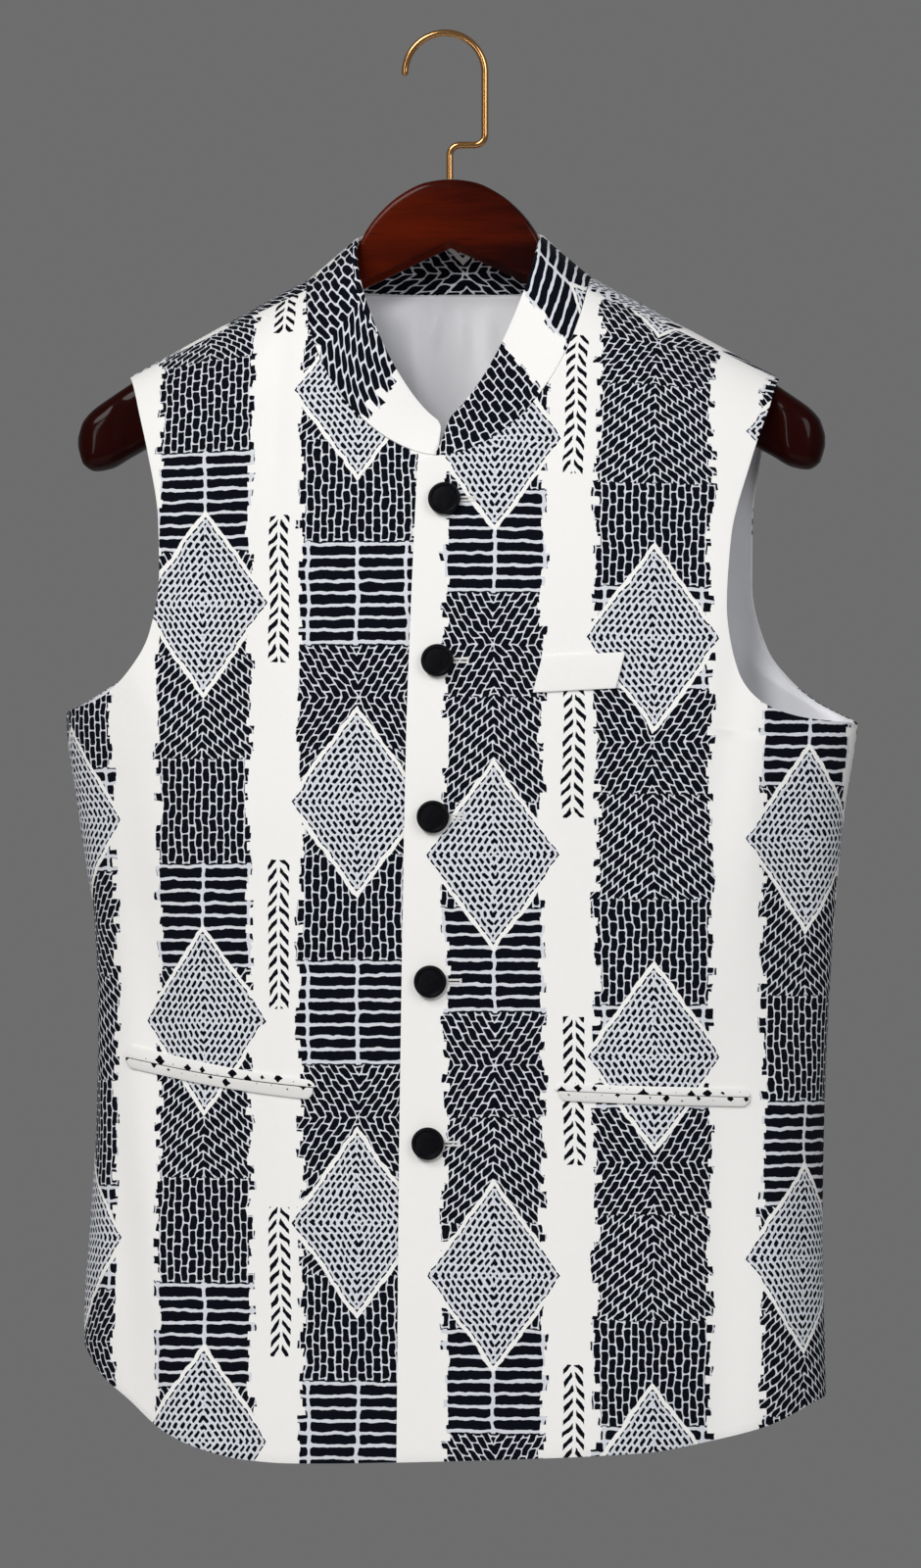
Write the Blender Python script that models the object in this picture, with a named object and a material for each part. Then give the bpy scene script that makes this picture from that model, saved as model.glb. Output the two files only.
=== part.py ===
"""A sleeveless nehru jacket hanging on a wooden hanger with a wire hook.

Sizes are in millimetres in this file and become metres where a mesh is made.
+Z is up, the front of the jacket looks along -Y and the wearer's left is at +X.
The world origin lies under the crown of the hook, where a rail would carry it.
"""
import math

import bmesh
import bpy
from mathutils import Vector

MM = 0.001                    # one millimetre in Blender's metres

# Cloth and gaps
CLOTH = 1.6                   # wall of the fronts and the back
LINING = 1.1
COLLAR_WALL = 2.0
TRIM_WALL = 1.3               # welt and pocket lips
SEAM_GAP = 0.3
LAY_GAP = 0.35                # between a piece and the panel it lies on

# Body of the jacket
ROUNDNESS = 2.2               # exponent of the flattened oval that the chest makes
RIDGE_TOP = -94.1             # height of the shoulder ridge, produced to the neck's middle
RIDGE_SLOPE = 0.5516
RIDGE_BLEND = 30.0            # rounds the ridge's slope over the middle
SHOULDER_ROLL = 60.0          # drop over which the shoulder rounds off
CHEST_ROLL = 320.0            # drop at which the chest reaches its full depth
ROLL_SHARE = 0.45             # share of the depth that the shoulder's rounding gives
UNROLL = 40.0                 # turns a drop below the ridge into a length along the cloth

# Neck and band collar
NECK_HALF = 84.0
NECK_FRONT_DROP = 106.0
NECK_BACK_DROP = 8.0
NECK_FRONT_POWER = 1.8
NECK_BACK_POWER = 2.4
COLLAR_TOP_HALF = 55.0
COLLAR_TOP = -119.0
COLLAR_TOP_FRONT_DROP = 110.0
COLLAR_TOP_BACK_RISE = 5.0
COLLAR_TOP_FRONT_POWER = 1.4
COLLAR_TOP_BACK_POWER = 2.2
COLLAR_LEAN = 0.8             # depth of the collar's top against that of its base
COLLAR_LIFT = 2.3             # height at which the collar starts above the neckline
COLLAR_ENDS = (-178.0, 181.7)  # turn of each end from the middle of the back
COLLAR_ROUND = (5.0, 14.5)      # turn over which each end rounds off
COLLAR_ROUND_CUT = (0.3, 0.85)  # share of the height that the rounding takes off it
COLLAR_UNDER = 3.2            # how far the under end lies inside the other one

# Front closing
LAP = 17.3                    # from the buttons' line to the edge of the upper front
UNDERLAP = 18.0
UNDER_INSET = 2.3             # how far the under front lies inside the upper one
UNDER_BLEND = 38.0
FRONT_CORNER = -255.0         # height of the upper front's corner under the collar
CORNER_RADIUS = 4.0
SHOULDER_SEAM_NECK = 26.0     # shoulder seam, forward of the ridge, along the cloth
SHOULDER_SEAM_TIP = 9.0
SHOULDER_TIP = {"right": 190.8, "left": 195.5}

# Buttons
BUTTON_HEIGHTS = (-275.0, -370.0, -461.7, -558.5, -653.7)
BUTTON_STEPS = 20
BUTTON_PROFILE = (            # radius and height above the cloth, from the shank to the middle
    (0.0, 0.0),
    (2.5, 0.0),
    (2.5, 1.4),
    (8.6, 1.4),
    (9.6, 2.6),
    (9.3, 4.3),
    (8.2, 5.0),
    (7.0, 4.7),
    (6.2, 4.1),
    (0.0, 4.1),
)

# Hanger
HANGER_OFFSET = 3.5           # the wood's middle stands this far beside the hook's crown
WIRE_RADIUS = 2.1
HOOK_RADIUS = 23.8
HOOK_CROWN = -3.5             # crown of the hook, measured from the wood's middle
HOOK_LEG_END = -56.5
HOOK_RUN = -64.4              # height of the wire's sideways run
HOOK_STEM = -0.6
HOOK_STEM_END = -84.4
HOOK_BEND = 6.0
WOOD_SIDES = 14
WOOD_ROUNDNESS = 2.3          # exponent of the arm's oval section
WOOD_LONG_STEP = 20.0         # a step between sections longer than this is halved


class Table:
    """A short table of sizes with named columns, read smoothly between its rows."""

    def __init__(self, columns, rows):
        self.columns = columns.split()
        self.rows = sorted(rows)

    def read(self, column, key):
        keys = [row[0] for row in self.rows]
        values = [row[self.columns.index(column)] for row in self.rows]
        if key <= keys[0]:
            return values[0]
        if key >= keys[-1]:
            return values[-1]
        i = max(k for k in range(len(keys) - 1) if keys[k] <= key)
        steps = [(values[k + 1] - values[k]) / (keys[k + 1] - keys[k]) for k in range(len(keys) - 1)]
        width = keys[i + 1] - keys[i]
        t = (key - keys[i]) / width
        start = even_slope(steps, i) * width
        end = even_slope(steps, i + 1) * width
        return ((2 * t**3 - 3 * t**2 + 1) * values[i] + (t**3 - 2 * t**2 + t) * start
                + (3 * t**2 - 2 * t**3) * values[i + 1] + (t**3 - t**2) * end)


def even_slope(steps, i):
    """Slope at row i that keeps a curve through the rows from overshooting."""
    if i == 0:
        return steps[0]
    if i == len(steps):
        return steps[-1]
    before, after = steps[i - 1], steps[i]
    if before * after <= 0:
        return 0.0
    return 2 * before * after / (before + after)


SIDES = Table("height right left", [   # half width of the jacket on the wearer's right and left
    (-842, 219.4, 223.6),
    (-756, 218.6, 221.8),
    (-698, 214.8, 220.9),
    (-640, 211.3, 221.8),
    (-582, 210.4, 224.0),
    (-524, 212.5, 227.6),
    (-490, 217.7, 230.6),
    (-454, 223.0, 234.6),
    (-403, 229.5, 241.6),
    (-200, 229.5, 241.6),
])
DEPTHS = Table("height front back", [  # how far the cloth stands before and behind the hanger
    (-842, 66, 60),
    (-640, 64, 58),
    (-400, 68, 62),
    (-100, 68, 62),
])
CENTRE_LINE = Table("height across", [   # line of the buttons
    (-840, -7.3),
    (-680, -6.2),
    (-560, -4.4),
    (-410, -1.2),
    (-330, 1.6),
    (-250, 4.8),
])
HEM = Table("across height", [
    (-219.4, -772),
    (-205, -791),
    (-187, -806),
    (-165, -824),
    (-141, -834.6),
    (-118, -840),
    (-88, -842),
    (40, -839),
    (120, -835),
    (160, -828),
    (190, -820),
    (223.6, -803),
])
ARMHOLE_FRONT = Table("share right right_height left left_height", [   # share 0 at the underarm
    (0.00, 229.5, -400.0, 241.6, -406.6),
    (0.12, 206.0, -392.0, 214.0, -403.5),
    (0.24, 186.0, -375.0, 189.0, -394.5),
    (0.36, 174.0, -353.0, 175.5, -376.0),
    (0.50, 168.3, -320.0, 168.6, -337.0),
    (0.64, 169.5, -285.0, 170.8, -298.0),
    (0.80, 176.5, -246.0, 182.0, -252.0),
    (0.92, 184.5, -216.0, 192.0, -219.0),
])
ARMHOLE_BACK = Table("share right right_height left left_height", [
    (0.00, 229.5, -400.0, 241.6, -406.6),
    (0.12, 212.0, -388.0, 214.0, -393.0),
    (0.24, 195.0, -375.0, 197.0, -379.0),
    (0.36, 183.5, -356.0, 184.6, -362.0),
    (0.50, 175.5, -322.0, 175.5, -326.0),
    (0.64, 174.6, -284.0, 176.0, -288.0),
    (0.80, 179.0, -244.0, 182.0, -248.0),
    (0.92, 185.5, -215.0, 190.5, -218.0),
])
WOOD = Table("reach under_ridge bottom half_depth", [   # the hanger's arms, reach from its middle
    (0, -25.9, -125.3, 7.0),
    (15, -26.0, -132.2, 7.0),
    (30, -23.5, -139.3, 7.0),
    (43, -17.5, -145.5, 7.2),
    (52, -9.0, -149.5, 7.5),
    (58, 1.5, -152.5, 8.0),
    (66, 4.6, -157.0, 8.6),
    (84, 5.6, -167.5, 10.0),
    (120, 4.6, -193.0, 12.0),
    (150, 3.4, -219.0, 12.4),
    (180, 3.6, -242.5, 12.8),
    (192, 4.6, -249.5, 13.4),
    (203, 6.0, -255.5, 16.0),
    (212, 7.4, -257.0, 15.5),
    (219, 11.0, -253.0, 11.5),
    (222, 18.0, -244.0, 5.5),
])
POCKET_LIPS = Table("row outer outer_height inner inner_height outer_width inner_width", [
    (0, -189.0, -603.5, -73.0, -620.5, 8.0, 4.0),     # wearer's right, upper
    (1, -189.0, -604.5, -74.0, -621.5, -6.0, -7.0),   # wearer's right, lower
    (2, 181.0, -626.0, 69.0, -622.0, 4.5, 4.5),       # wearer's left, upper
    (3, 181.0, -627.0, 71.0, -623.0, -6.0, -6.0),     # wearer's left, lower
])
POCKET_NAMES = ("pocket_right_upper", "pocket_right_lower", "pocket_left_upper", "pocket_left_lower")
WELT = {"left": 56.0, "left_height": -389.0, "right": 104.5, "right_height": -386.5,
        "skew": 5.5, "height": 21.5}

# Rows and columns of the panels' meshes
FRONT_COLUMNS = 12
FRONT_ROWS = (10, 7, 9)       # hem to underarm, underarm to the neck's corner, neck to shoulder
BACK_COLUMNS = 26
BACK_BODY_ROWS = 8
BACK_ARMHOLE_SHARES = (0.0, 0.06, 0.13, 0.22, 0.34, 0.48, 0.62, 0.75, 0.85, 0.92, 0.94, 0.96, 0.98, 1.0)
ARMHOLE_TOP = 0.92            # the armhole tables end here, and the edge then rounds the ridge
CORNER_SHARE = 0.76           # share of the front armhole at the height of the neck's corner
SEAM_SHARE = 4 / 26           # share of the back's columns under each shoulder seam
BACK_HEM_RISE = 5.0
TURN_REACH = 200.0            # length of cloth that one radian of turn takes, about
SMOOTH_ROUNDS = 60
BACK_SPOTS = [(13, 10, 13, 11)]   # column, row, and the columns and rows reached: the whole back
FRONT_SPOTS = [(7, 10, 4, 7)]     # round the underarm, clear of the front edge
LINING_TOP = 30.0             # the lining ends this far behind the shoulder's ridge
LINING_HEM = 0.03
LINING_FREE = 17 / 21          # share up the back below which the lining keeps to its rows
LINING_GAP = 2.1
COLLAR_COLUMNS = 44
COLLAR_ROWS = 3
LIP_COLUMNS = 10
WELT_COLUMNS = 5
SIDE = math.pi / 2            # turn of the side seams


def signed_power(value, power):
    return math.copysign(abs(value) ** power, value)


def blend(start, end, share):
    return start + (end - start) * share


def ease(share):
    """Smooth step from 0 to 1."""
    share = min(1.0, max(0.0, share))
    return share * share * (3 - 2 * share)


def ridge(x):
    """Height of the shoulder's ridge at a place across."""
    return RIDGE_TOP - RIDGE_SLOPE * math.hypot(x, RIDGE_BLEND)


def roll(drop):
    """Share of the full depth that the cloth has reached at a drop below the ridge."""
    def quarter(reach):
        left = max(0.0, 1 - drop / reach)
        return math.sqrt(1 - left * left)
    return ROLL_SHARE * quarter(SHOULDER_ROLL) + (1 - ROLL_SHARE) * quarter(CHEST_ROLL)


def drop_of(along):
    return math.hypot(along, UNROLL) - UNROLL


def along_of(drop):
    return math.sqrt((max(0.0, drop) + UNROLL) ** 2 - UNROLL ** 2)


def side_name(across):
    return "left" if across > 0 else "right"


def face_point(turn, along):
    """Point on the cloth's outer face.

    turn goes from one side seam to the other, along down the cloth from the shoulder's
    ridge, negative in front and positive behind.
    """
    drop = drop_of(along)
    across = signed_power(math.sin(turn), 2 / ROUNDNESS)
    x = 200 * across
    for _ in range(5):
        x = SIDES.read(side_name(turn), ridge(x) - drop) * across
    z = ridge(x) - drop
    depth = DEPTHS.read("back" if along > 0 else "front", z)
    y = math.copysign(depth * roll(drop) * abs(math.cos(turn)) ** (2 / ROUNDNESS), along)
    return Vector((x, y, z))


def outward(turn, along):
    """Unit normal of the cloth's outer face."""
    step = -0.004 if turn > 0 else 0.004
    across = (face_point(turn + step, along) - face_point(turn, along)) / step
    up = face_point(turn, along + 0.3) - face_point(turn, along - 0.3)
    return across.cross(up).normalized()


def cloth(place, lift):
    """Point of the cloth at a place (turn, along), moved out by lift."""
    turn, along = place
    shift = Vector((0, math.copysign(SEAM_GAP / 2, along), 0))
    return face_point(turn, along) + outward(turn, along) * lift + shift


def locate(x, z, back=False):
    """Place (turn, along) of a point given by its front view."""
    along = along_of(ridge(x) - z)
    reach = min(1.0, abs(x) / SIDES.read(side_name(x), z))
    turn = math.copysign(math.asin(reach ** (ROUNDNESS / 2)), x)
    return Vector((turn, along if back else -along))


def locate_along(x, along):
    """Place (turn, along) of a point given by its place across and its length along."""
    place = locate(x, ridge(x) - drop_of(along))
    return Vector((place.x, along))


def locate_turn(turn, z):
    """Place (turn, along) of a point in front given by its turn and its height."""
    x = SIDES.read(side_name(turn), z) * signed_power(math.sin(turn), 2 / ROUNDNESS)
    return Vector((turn, -along_of(ridge(x) - z)))


def evenly(path, samples=60):
    """The same path over the cloth, run through at an even pace."""
    places = [path(k / samples) for k in range(samples + 1)]
    points = [face_point(*place) for place in places]
    lengths = [0.0]
    for before, after in zip(points, points[1:]):
        lengths.append(lengths[-1] + (after - before).length)

    def even_path(share):
        goal = share * lengths[-1]
        k = max(i for i in range(samples) if lengths[i] <= goal or i == 0)
        step = (goal - lengths[k]) / max(1e-9, lengths[k + 1] - lengths[k])
        return places[k].lerp(places[k + 1], min(1.0, step))
    return even_path


def patch(bottom, top, start, end, fade):
    """Place inside four edges: bottom and top run across, start and end run up.

    A row is straight between its ends, and takes the shape of the bottom or the top the
    nearer it lies to it; the power fade says how soon that shape is gone.
    """
    def bend(edge, s):
        return edge(s) - edge(0).lerp(edge(1), s)

    def place(s, f):
        row = start(f).lerp(end(f), s)
        return row + bend(bottom, s) * (1 - f) ** fade + bend(top, s) * f ** fade
    return place


def level(path):
    """A path's turn and height in place of its turn and length along the cloth."""
    def heights(share):
        place = path(share)
        return Vector((place.x, face_point(*place).z))
    return heights


def neckline(angle, side):
    """Place on the neckline; angle is 0 in the middle of the front and 180 in that of the back."""
    turn = math.radians(angle)
    back = angle > 90
    power = 2 / (NECK_BACK_POWER if back else NECK_FRONT_POWER)
    fall = NECK_BACK_DROP if back else NECK_FRONT_DROP
    x = side * NECK_HALF * abs(math.sin(turn)) ** power
    z = ridge(NECK_HALF) - fall * abs(math.cos(turn)) ** power
    return locate(x, z, back)


def neck_angle(along):
    """Angle at which the neckline lies at a length along the cloth."""
    low, high = 30.0, 180.0
    for _ in range(40):
        middle = (low + high) / 2
        if neckline(middle, 1).y < along:
            low = middle
        else:
            high = middle
    return low


def hem_place(turn, back=False):
    side = side_name(turn)
    x = SIDES.read(side, HEM.rows[0][1]) * signed_power(math.sin(turn), 2 / ROUNDNESS)
    z = HEM.read("height", x)
    if back:
        z += BACK_HEM_RISE * math.cos(turn)
    return locate(x, z, back)


def side_height(side):
    """Heights of the side seam's foot and of the underarm."""
    across = SIDE if side > 0 else -SIDE
    foot = face_point(*hem_place(across)).z
    return foot, ARMHOLE_FRONT.read(side_name(side) + "_height", 0)


def armhole_place(share, side, table, back, tip):
    """Place on an armhole's edge, from the underarm (0) to the shoulder's tip (1)."""
    name = side_name(side)
    low = min(share, ARMHOLE_TOP)
    place = locate(side * table.read(name, low), table.read(name + "_height", low), back)
    if share > ARMHOLE_TOP:
        place = place.lerp(tip, (share - ARMHOLE_TOP) / (1 - ARMHOLE_TOP))
    return place


def shoulder_seam(share, side, neck_along, tip_along):
    """Place on the line of a shoulder seam, from the neck (0) to the tip (1)."""
    neck_x = abs(face_point(*neckline(neck_angle(neck_along), side)).x)
    tip_x = SHOULDER_TIP[side_name(side)]
    x = side * blend(neck_x, tip_x, share)
    return locate_along(x, blend(neck_along, tip_along, share))


def front_edge(z, side):
    """Free edge of a front: the upper front lies on the wearer's left."""
    line = CENTRE_LINE.read("across", z)
    return line - LAP if side > 0 else line + UNDERLAP


def front_top(side):
    """Top edge of a front from its corner (0) to the shoulder seam (1)."""
    corner = front_edge(FRONT_CORNER, side)
    inward = side * CORNER_RADIUS
    last = neck_angle(-SHOULDER_SEAM_NECK - SEAM_GAP)
    middle_z = ridge(NECK_HALF) - NECK_FRONT_DROP

    def place(share):
        if share < 0.2:
            turn = share / 0.2 * math.pi / 2
            x = corner + inward * (1 - math.cos(turn))
            return locate(x, FRONT_CORNER + CORNER_RADIUS * math.sin(turn))
        if share < 0.3:
            part = (share - 0.2) / 0.1
            return locate(blend(corner + inward, 0.0, part),
                          blend(FRONT_CORNER + CORNER_RADIUS, middle_z, part))
        return neck_part((share - 0.3) / 0.7)
    neck_part = evenly(lambda share: neckline(blend(0.0, last, share), side))
    return place


def front_patch(side):
    """Places of a front: s from the free edge to the side, f from the hem to the shoulder."""
    rows = sum(FRONT_ROWS)
    underarm_share = FRONT_ROWS[0] / rows
    corner_share = (FRONT_ROWS[0] + FRONT_ROWS[1]) / rows
    foot, underarm = side_height(side)
    edge_foot = HEM.read("height", front_edge(HEM.read("height", 0), side))
    tip = shoulder_seam(1, side, -SHOULDER_SEAM_NECK - SEAM_GAP, -SHOULDER_SEAM_TIP - SEAM_GAP)
    top_edge = front_top(side)

    def free_edge(f):
        if f >= corner_share:
            return top_edge((f - corner_share) / (1 - corner_share))
        if f < underarm_share:
            z = blend(edge_foot, underarm, f / underarm_share)
        else:
            part = (f - underarm_share) / (corner_share - underarm_share)
            z = blend(underarm, FRONT_CORNER, part)
        return locate(front_edge(z, side), z)

    def side_edge(f):
        if f < underarm_share:
            z = blend(foot, underarm, f / underarm_share)
            return locate(side * SIDES.read(side_name(side), z), z)
        if f < corner_share:
            share = blend(0, CORNER_SHARE, (f - underarm_share) / (corner_share - underarm_share))
        else:
            share = blend(CORNER_SHARE, 1, (f - corner_share) / (1 - corner_share))
        return armhole_place(share, side, ARMHOLE_FRONT, False, tip)

    hem_start = locate(front_edge(edge_foot, side), edge_foot).x
    hem = evenly(lambda s: hem_place(blend(hem_start, side * SIDE, s)))
    seam = evenly(lambda s: shoulder_seam(s, side, -SHOULDER_SEAM_NECK - SEAM_GAP,
                                          -SHOULDER_SEAM_TIP - SEAM_GAP))
    flat = patch(level(hem), level(seam), level(free_edge), level(side_edge), 3)

    def place(s, f):
        turn, z = flat(s, f)
        return locate_turn(turn, z)
    return straightened(place, FRONT_COLUMNS, rows, FRONT_SPOTS)


def back_patch(seam_neck, seam_tip):
    """Places of the back: s from the wearer's right to the left, f from the hem up."""
    rows = BACK_BODY_ROWS + len(BACK_ARMHOLE_SHARES) - 1
    underarm_share = BACK_BODY_ROWS / rows

    def side_edge(side):
        foot, underarm = side_height(side)
        tip = shoulder_seam(1, side, seam_neck, seam_tip)

        def place(f):
            if f <= underarm_share:
                z = blend(foot, underarm, f / underarm_share)
                return locate(side * SIDES.read(side_name(side), z), z, True)
            row = f * rows - BACK_BODY_ROWS
            k = min(int(row), len(BACK_ARMHOLE_SHARES) - 2)
            share = blend(BACK_ARMHOLE_SHARES[k], BACK_ARMHOLE_SHARES[k + 1], row - k)
            return armhole_place(share, side, ARMHOLE_BACK, True, tip)
        return place

    corner = neck_angle(seam_neck)
    round_neck = evenly(lambda share: neckline(180 - abs(blend(corner - 180, 180 - corner, share)),
                                               1 if share > 0.5 else -1))

    def top_edge(s):
        if s < SEAM_SHARE:
            return shoulder_seam(1 - s / SEAM_SHARE, -1, seam_neck, seam_tip)
        if s > 1 - SEAM_SHARE:
            return shoulder_seam((s + SEAM_SHARE - 1) / SEAM_SHARE, 1, seam_neck, seam_tip)
        return round_neck((s - SEAM_SHARE) / (1 - 2 * SEAM_SHARE))

    hem = evenly(lambda s: hem_place(blend(-SIDE, SIDE, s), True))
    flat = patch(hem, top_edge, side_edge(-1), side_edge(1), 1)
    return straightened(flat, BACK_COLUMNS, rows, BACK_SPOTS, True)


def straightened(places, columns, rows, spots, across_only=False):
    """The same patch with the inner points near some spots moved so that no cell turns over.

    A spot is (column, row, columns and rows that it reaches). The edges stay. The points
    move by the smoothing that lays a grid with no folds into a region with an inward
    corner, such as the one at the neck. With across_only they keep their length along
    the cloth, and so the rows stay close together over the shoulders' ridge.
    """
    moving = [(i, j) for j in range(1, rows) for i in range(1, columns)
              if any(abs(i - column) <= wide and abs(j - row) <= high
                     for column, row, wide, high in spots)]
    grid = [[places(i / columns, j / rows) for i in range(columns + 1)] for j in range(rows + 1)]
    # one radian of turn is about TURN_REACH millimetres of cloth
    grid = [[Vector((point.x * TURN_REACH, point.y)) for point in row] for row in grid]
    for _ in range(SMOOTH_ROUNDS):
        for i, j in moving:
            across = (grid[j][i + 1] - grid[j][i - 1]) / 2
            up = (grid[j + 1][i] - grid[j - 1][i]) / 2
            mixed = (grid[j + 1][i + 1] - grid[j + 1][i - 1]
                     - grid[j - 1][i + 1] + grid[j - 1][i - 1]) / 4
            a, b, c = up.dot(up), across.dot(up), across.dot(across)
            pull = a * (grid[j][i + 1] + grid[j][i - 1]) + c * (grid[j + 1][i] + grid[j - 1][i])
            moved = (pull - 2 * b * mixed) / (2 * (a + c))
            grid[j][i] = Vector((moved.x, grid[j][i].y)) if across_only else moved
    grid = [[Vector((point.x / TURN_REACH, point.y)) for point in row] for row in grid]

    def place(s, f):
        i, j = min(int(s * columns), columns - 1), min(int(f * rows), rows - 1)
        u, v = s * columns - i, f * rows - j
        low = grid[j][i].lerp(grid[j][i + 1], u)
        high = grid[j + 1][i].lerp(grid[j + 1][i + 1], u)
        return low.lerp(high, v)
    return place


def clear_scene():
    for item in list(bpy.data.objects):
        bpy.data.objects.remove(item, do_unlink=True)


def material(name, colour, roughness, metallic=0.0):
    made = bpy.data.materials.new(name)
    made.use_nodes = True
    shader = made.node_tree.nodes["Principled BSDF"]
    shader.inputs["Base Color"].default_value = (*colour, 1.0)
    shader.inputs["Roughness"].default_value = roughness
    shader.inputs["Metallic"].default_value = metallic
    return made


def add_object(name, bm, made, carrier):
    """A smooth-shaded object from a finished mesh, carried by the hanger's empty."""
    bmesh.ops.recalc_face_normals(bm, faces=bm.faces)
    if bm.calc_volume(signed=True) < 0:
        bmesh.ops.reverse_faces(bm, faces=bm.faces)
    mesh = bpy.data.meshes.new(name)
    bm.to_mesh(mesh)
    bm.free()
    mesh.shade_smooth()
    mesh.set_sharp_from_angle(angle=math.radians(50))
    mesh.materials.append(made)
    item = bpy.data.objects.new(name, mesh)
    bpy.context.scene.collection.objects.link(item)
    item.parent = carrier
    return item


def sheet(columns, rows, outer, inner):
    """Mesh of a thin sheet: a grid laid on its outer face and extruded to its inner one."""
    bm = bmesh.new()
    bmesh.ops.create_grid(bm, x_segments=columns, y_segments=rows, size=1)
    faces = list(bm.faces)
    first = list(bm.verts)
    grown = bmesh.ops.extrude_face_region(bm, geom=faces, use_keep_orig=True)
    second = [item for item in grown["geom"] if isinstance(item, bmesh.types.BMVert)]
    for verts, place in ((first, outer), (second, inner)):
        for vert in verts:
            vert.co = place((vert.co.x + 1) / 2, (vert.co.y + 1) / 2) * MM
    return bm


def front_inset(side, turn, along):
    """How far the under front steps in beneath the upper one."""
    if side > 0:
        return 0.0
    point = face_point(turn, along)
    reach = point.x - (front_edge(point.z, 1) - UNDER_BLEND)
    return UNDER_INSET * ease(reach / (UNDER_BLEND - 3))


def add_front(name, side, made, carrier):
    """One front panel: a sheet from the free edge to the side seam, armhole and shoulder."""
    places = front_patch(side)

    def face(depth):
        def place(s, f):
            spot = places(s, f)
            return cloth(spot, -depth - front_inset(side, *spot))
        return place
    bm = sheet(FRONT_COLUMNS, sum(FRONT_ROWS), face(0.0), face(CLOTH))
    return add_object(name, bm, made, carrier)


def add_back(made, carrier):
    places = back_patch(-SHOULDER_SEAM_NECK, -SHOULDER_SEAM_TIP)
    rows = BACK_BODY_ROWS + len(BACK_ARMHOLE_SHARES) - 1
    bm = sheet(BACK_COLUMNS, rows,
               lambda s, f: cloth(places(s, f), 0.0),
               lambda s, f: cloth(places(s, f), -CLOTH))
    return add_object("back", bm, made, carrier)


def lining_share(places, s, f):
    """Share up the back at which the lining lies, so that it ends behind the shoulder's ridge."""
    low, high = LINING_FREE, 1.0
    if places(s, 1.0).y < LINING_TOP:
        for _ in range(20):
            middle = (low + high) / 2
            if places(s, middle).y > LINING_TOP:
                low = middle
            else:
                high = middle
    if f <= LINING_FREE:
        return max(f, LINING_HEM)
    return blend(LINING_FREE, high, (f - LINING_FREE) / (1 - LINING_FREE))


def add_lining(made, carrier):
    """Lining inside the back, up to the neckline and to just behind the shoulders' ridge."""
    places = back_patch(-SHOULDER_SEAM_NECK, -SHOULDER_SEAM_TIP)
    depth = CLOTH + LINING_GAP
    rows = BACK_BODY_ROWS + len(BACK_ARMHOLE_SHARES) - 1

    def face(inset):
        return lambda s, f: cloth(places(s, lining_share(places, s, f)), -inset)
    bm = sheet(BACK_COLUMNS, rows, face(depth), face(depth + LINING))
    return add_object("lining_back", bm, made, carrier)


def collar_top(angle, side):
    """Point on the free edge of the collar above a place on the neckline."""
    turn = math.radians(angle)
    back = angle > 90
    power = 2 / (COLLAR_TOP_BACK_POWER if back else COLLAR_TOP_FRONT_POWER)
    fall = -COLLAR_TOP_BACK_RISE if back else COLLAR_TOP_FRONT_DROP
    x = side * COLLAR_TOP_HALF * abs(math.sin(turn)) ** power
    z = COLLAR_TOP - fall * abs(math.cos(turn)) ** power
    y = face_point(*neckline(angle, side)).y * COLLAR_LEAN
    return Vector((x, y, z))


def collar_point(angle, up):
    """Point on the collar's outer face; angle is 0 at the back, positive to the wearer's left.

    The upper end passes the middle of the front, and so its angle goes beyond 180.
    """
    side = 1 if 0 < angle <= 180 else -1
    front = abs(180 - abs(angle))
    base = face_point(*neckline(front, side))
    rise = collar_top(front, side) - base
    which = 1 if angle > 0 else 0
    corner = ease(1 - (abs(COLLAR_ENDS[which]) - abs(angle)) / COLLAR_ROUND[which])
    start = COLLAR_LIFT / rise.length
    point = base + rise * (start + up * (1 - start) * (1 - COLLAR_ROUND_CUT[which] * corner))
    if angle < 0:
        point.y += COLLAR_UNDER * ease((abs(angle) - 135) / 30)
    return point


def collar_turns():
    """Turns of the collar's columns, evenly spaced along the neckline."""
    count = 240
    low, high = COLLAR_ENDS
    turns = [blend(low, high, k / count) for k in range(count + 1)]
    lengths = [0.0]
    for before, after in zip(turns, turns[1:]):
        lengths.append(lengths[-1] + (collar_point(after, 0.4) - collar_point(before, 0.4)).length)

    def turn(share):
        goal = share * lengths[-1]
        k = max(i for i in range(count) if lengths[i] <= goal or i == 0)
        step = (goal - lengths[k]) / max(1e-9, lengths[k + 1] - lengths[k])
        return blend(turns[k], turns[k + 1], min(1.0, step))
    return turn


def collar_normal(angle, up):
    step = 1.0 if angle < 0 else -1.0
    along = (collar_point(angle + step, up) - collar_point(angle, up)) / step
    rise = collar_point(angle, up + 0.05) - collar_point(angle, up - 0.05)
    return rise.cross(along).normalized()


def add_collar(made, carrier):
    """Band collar: one strip round the neck whose ends cross in front."""
    turn = collar_turns()

    def face(depth):
        def place(s, f):
            angle = turn(s)
            return collar_point(angle, f) - collar_normal(angle, f) * depth
        return place
    bm = sheet(COLLAR_COLUMNS, COLLAR_ROWS, face(0.0), face(COLLAR_WALL))
    return add_object("collar", bm, made, carrier)


def add_trim(name, columns, rows, spot, made, carrier):
    """A thin piece that lies on a front panel; spot gives its front view."""
    def face(lift):
        return lambda s, f: cloth(locate(*spot(s, f)), lift)
    bm = sheet(columns, rows, face(LAY_GAP + TRIM_WALL), face(LAY_GAP))
    return add_object(name, bm, made, carrier)


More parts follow.
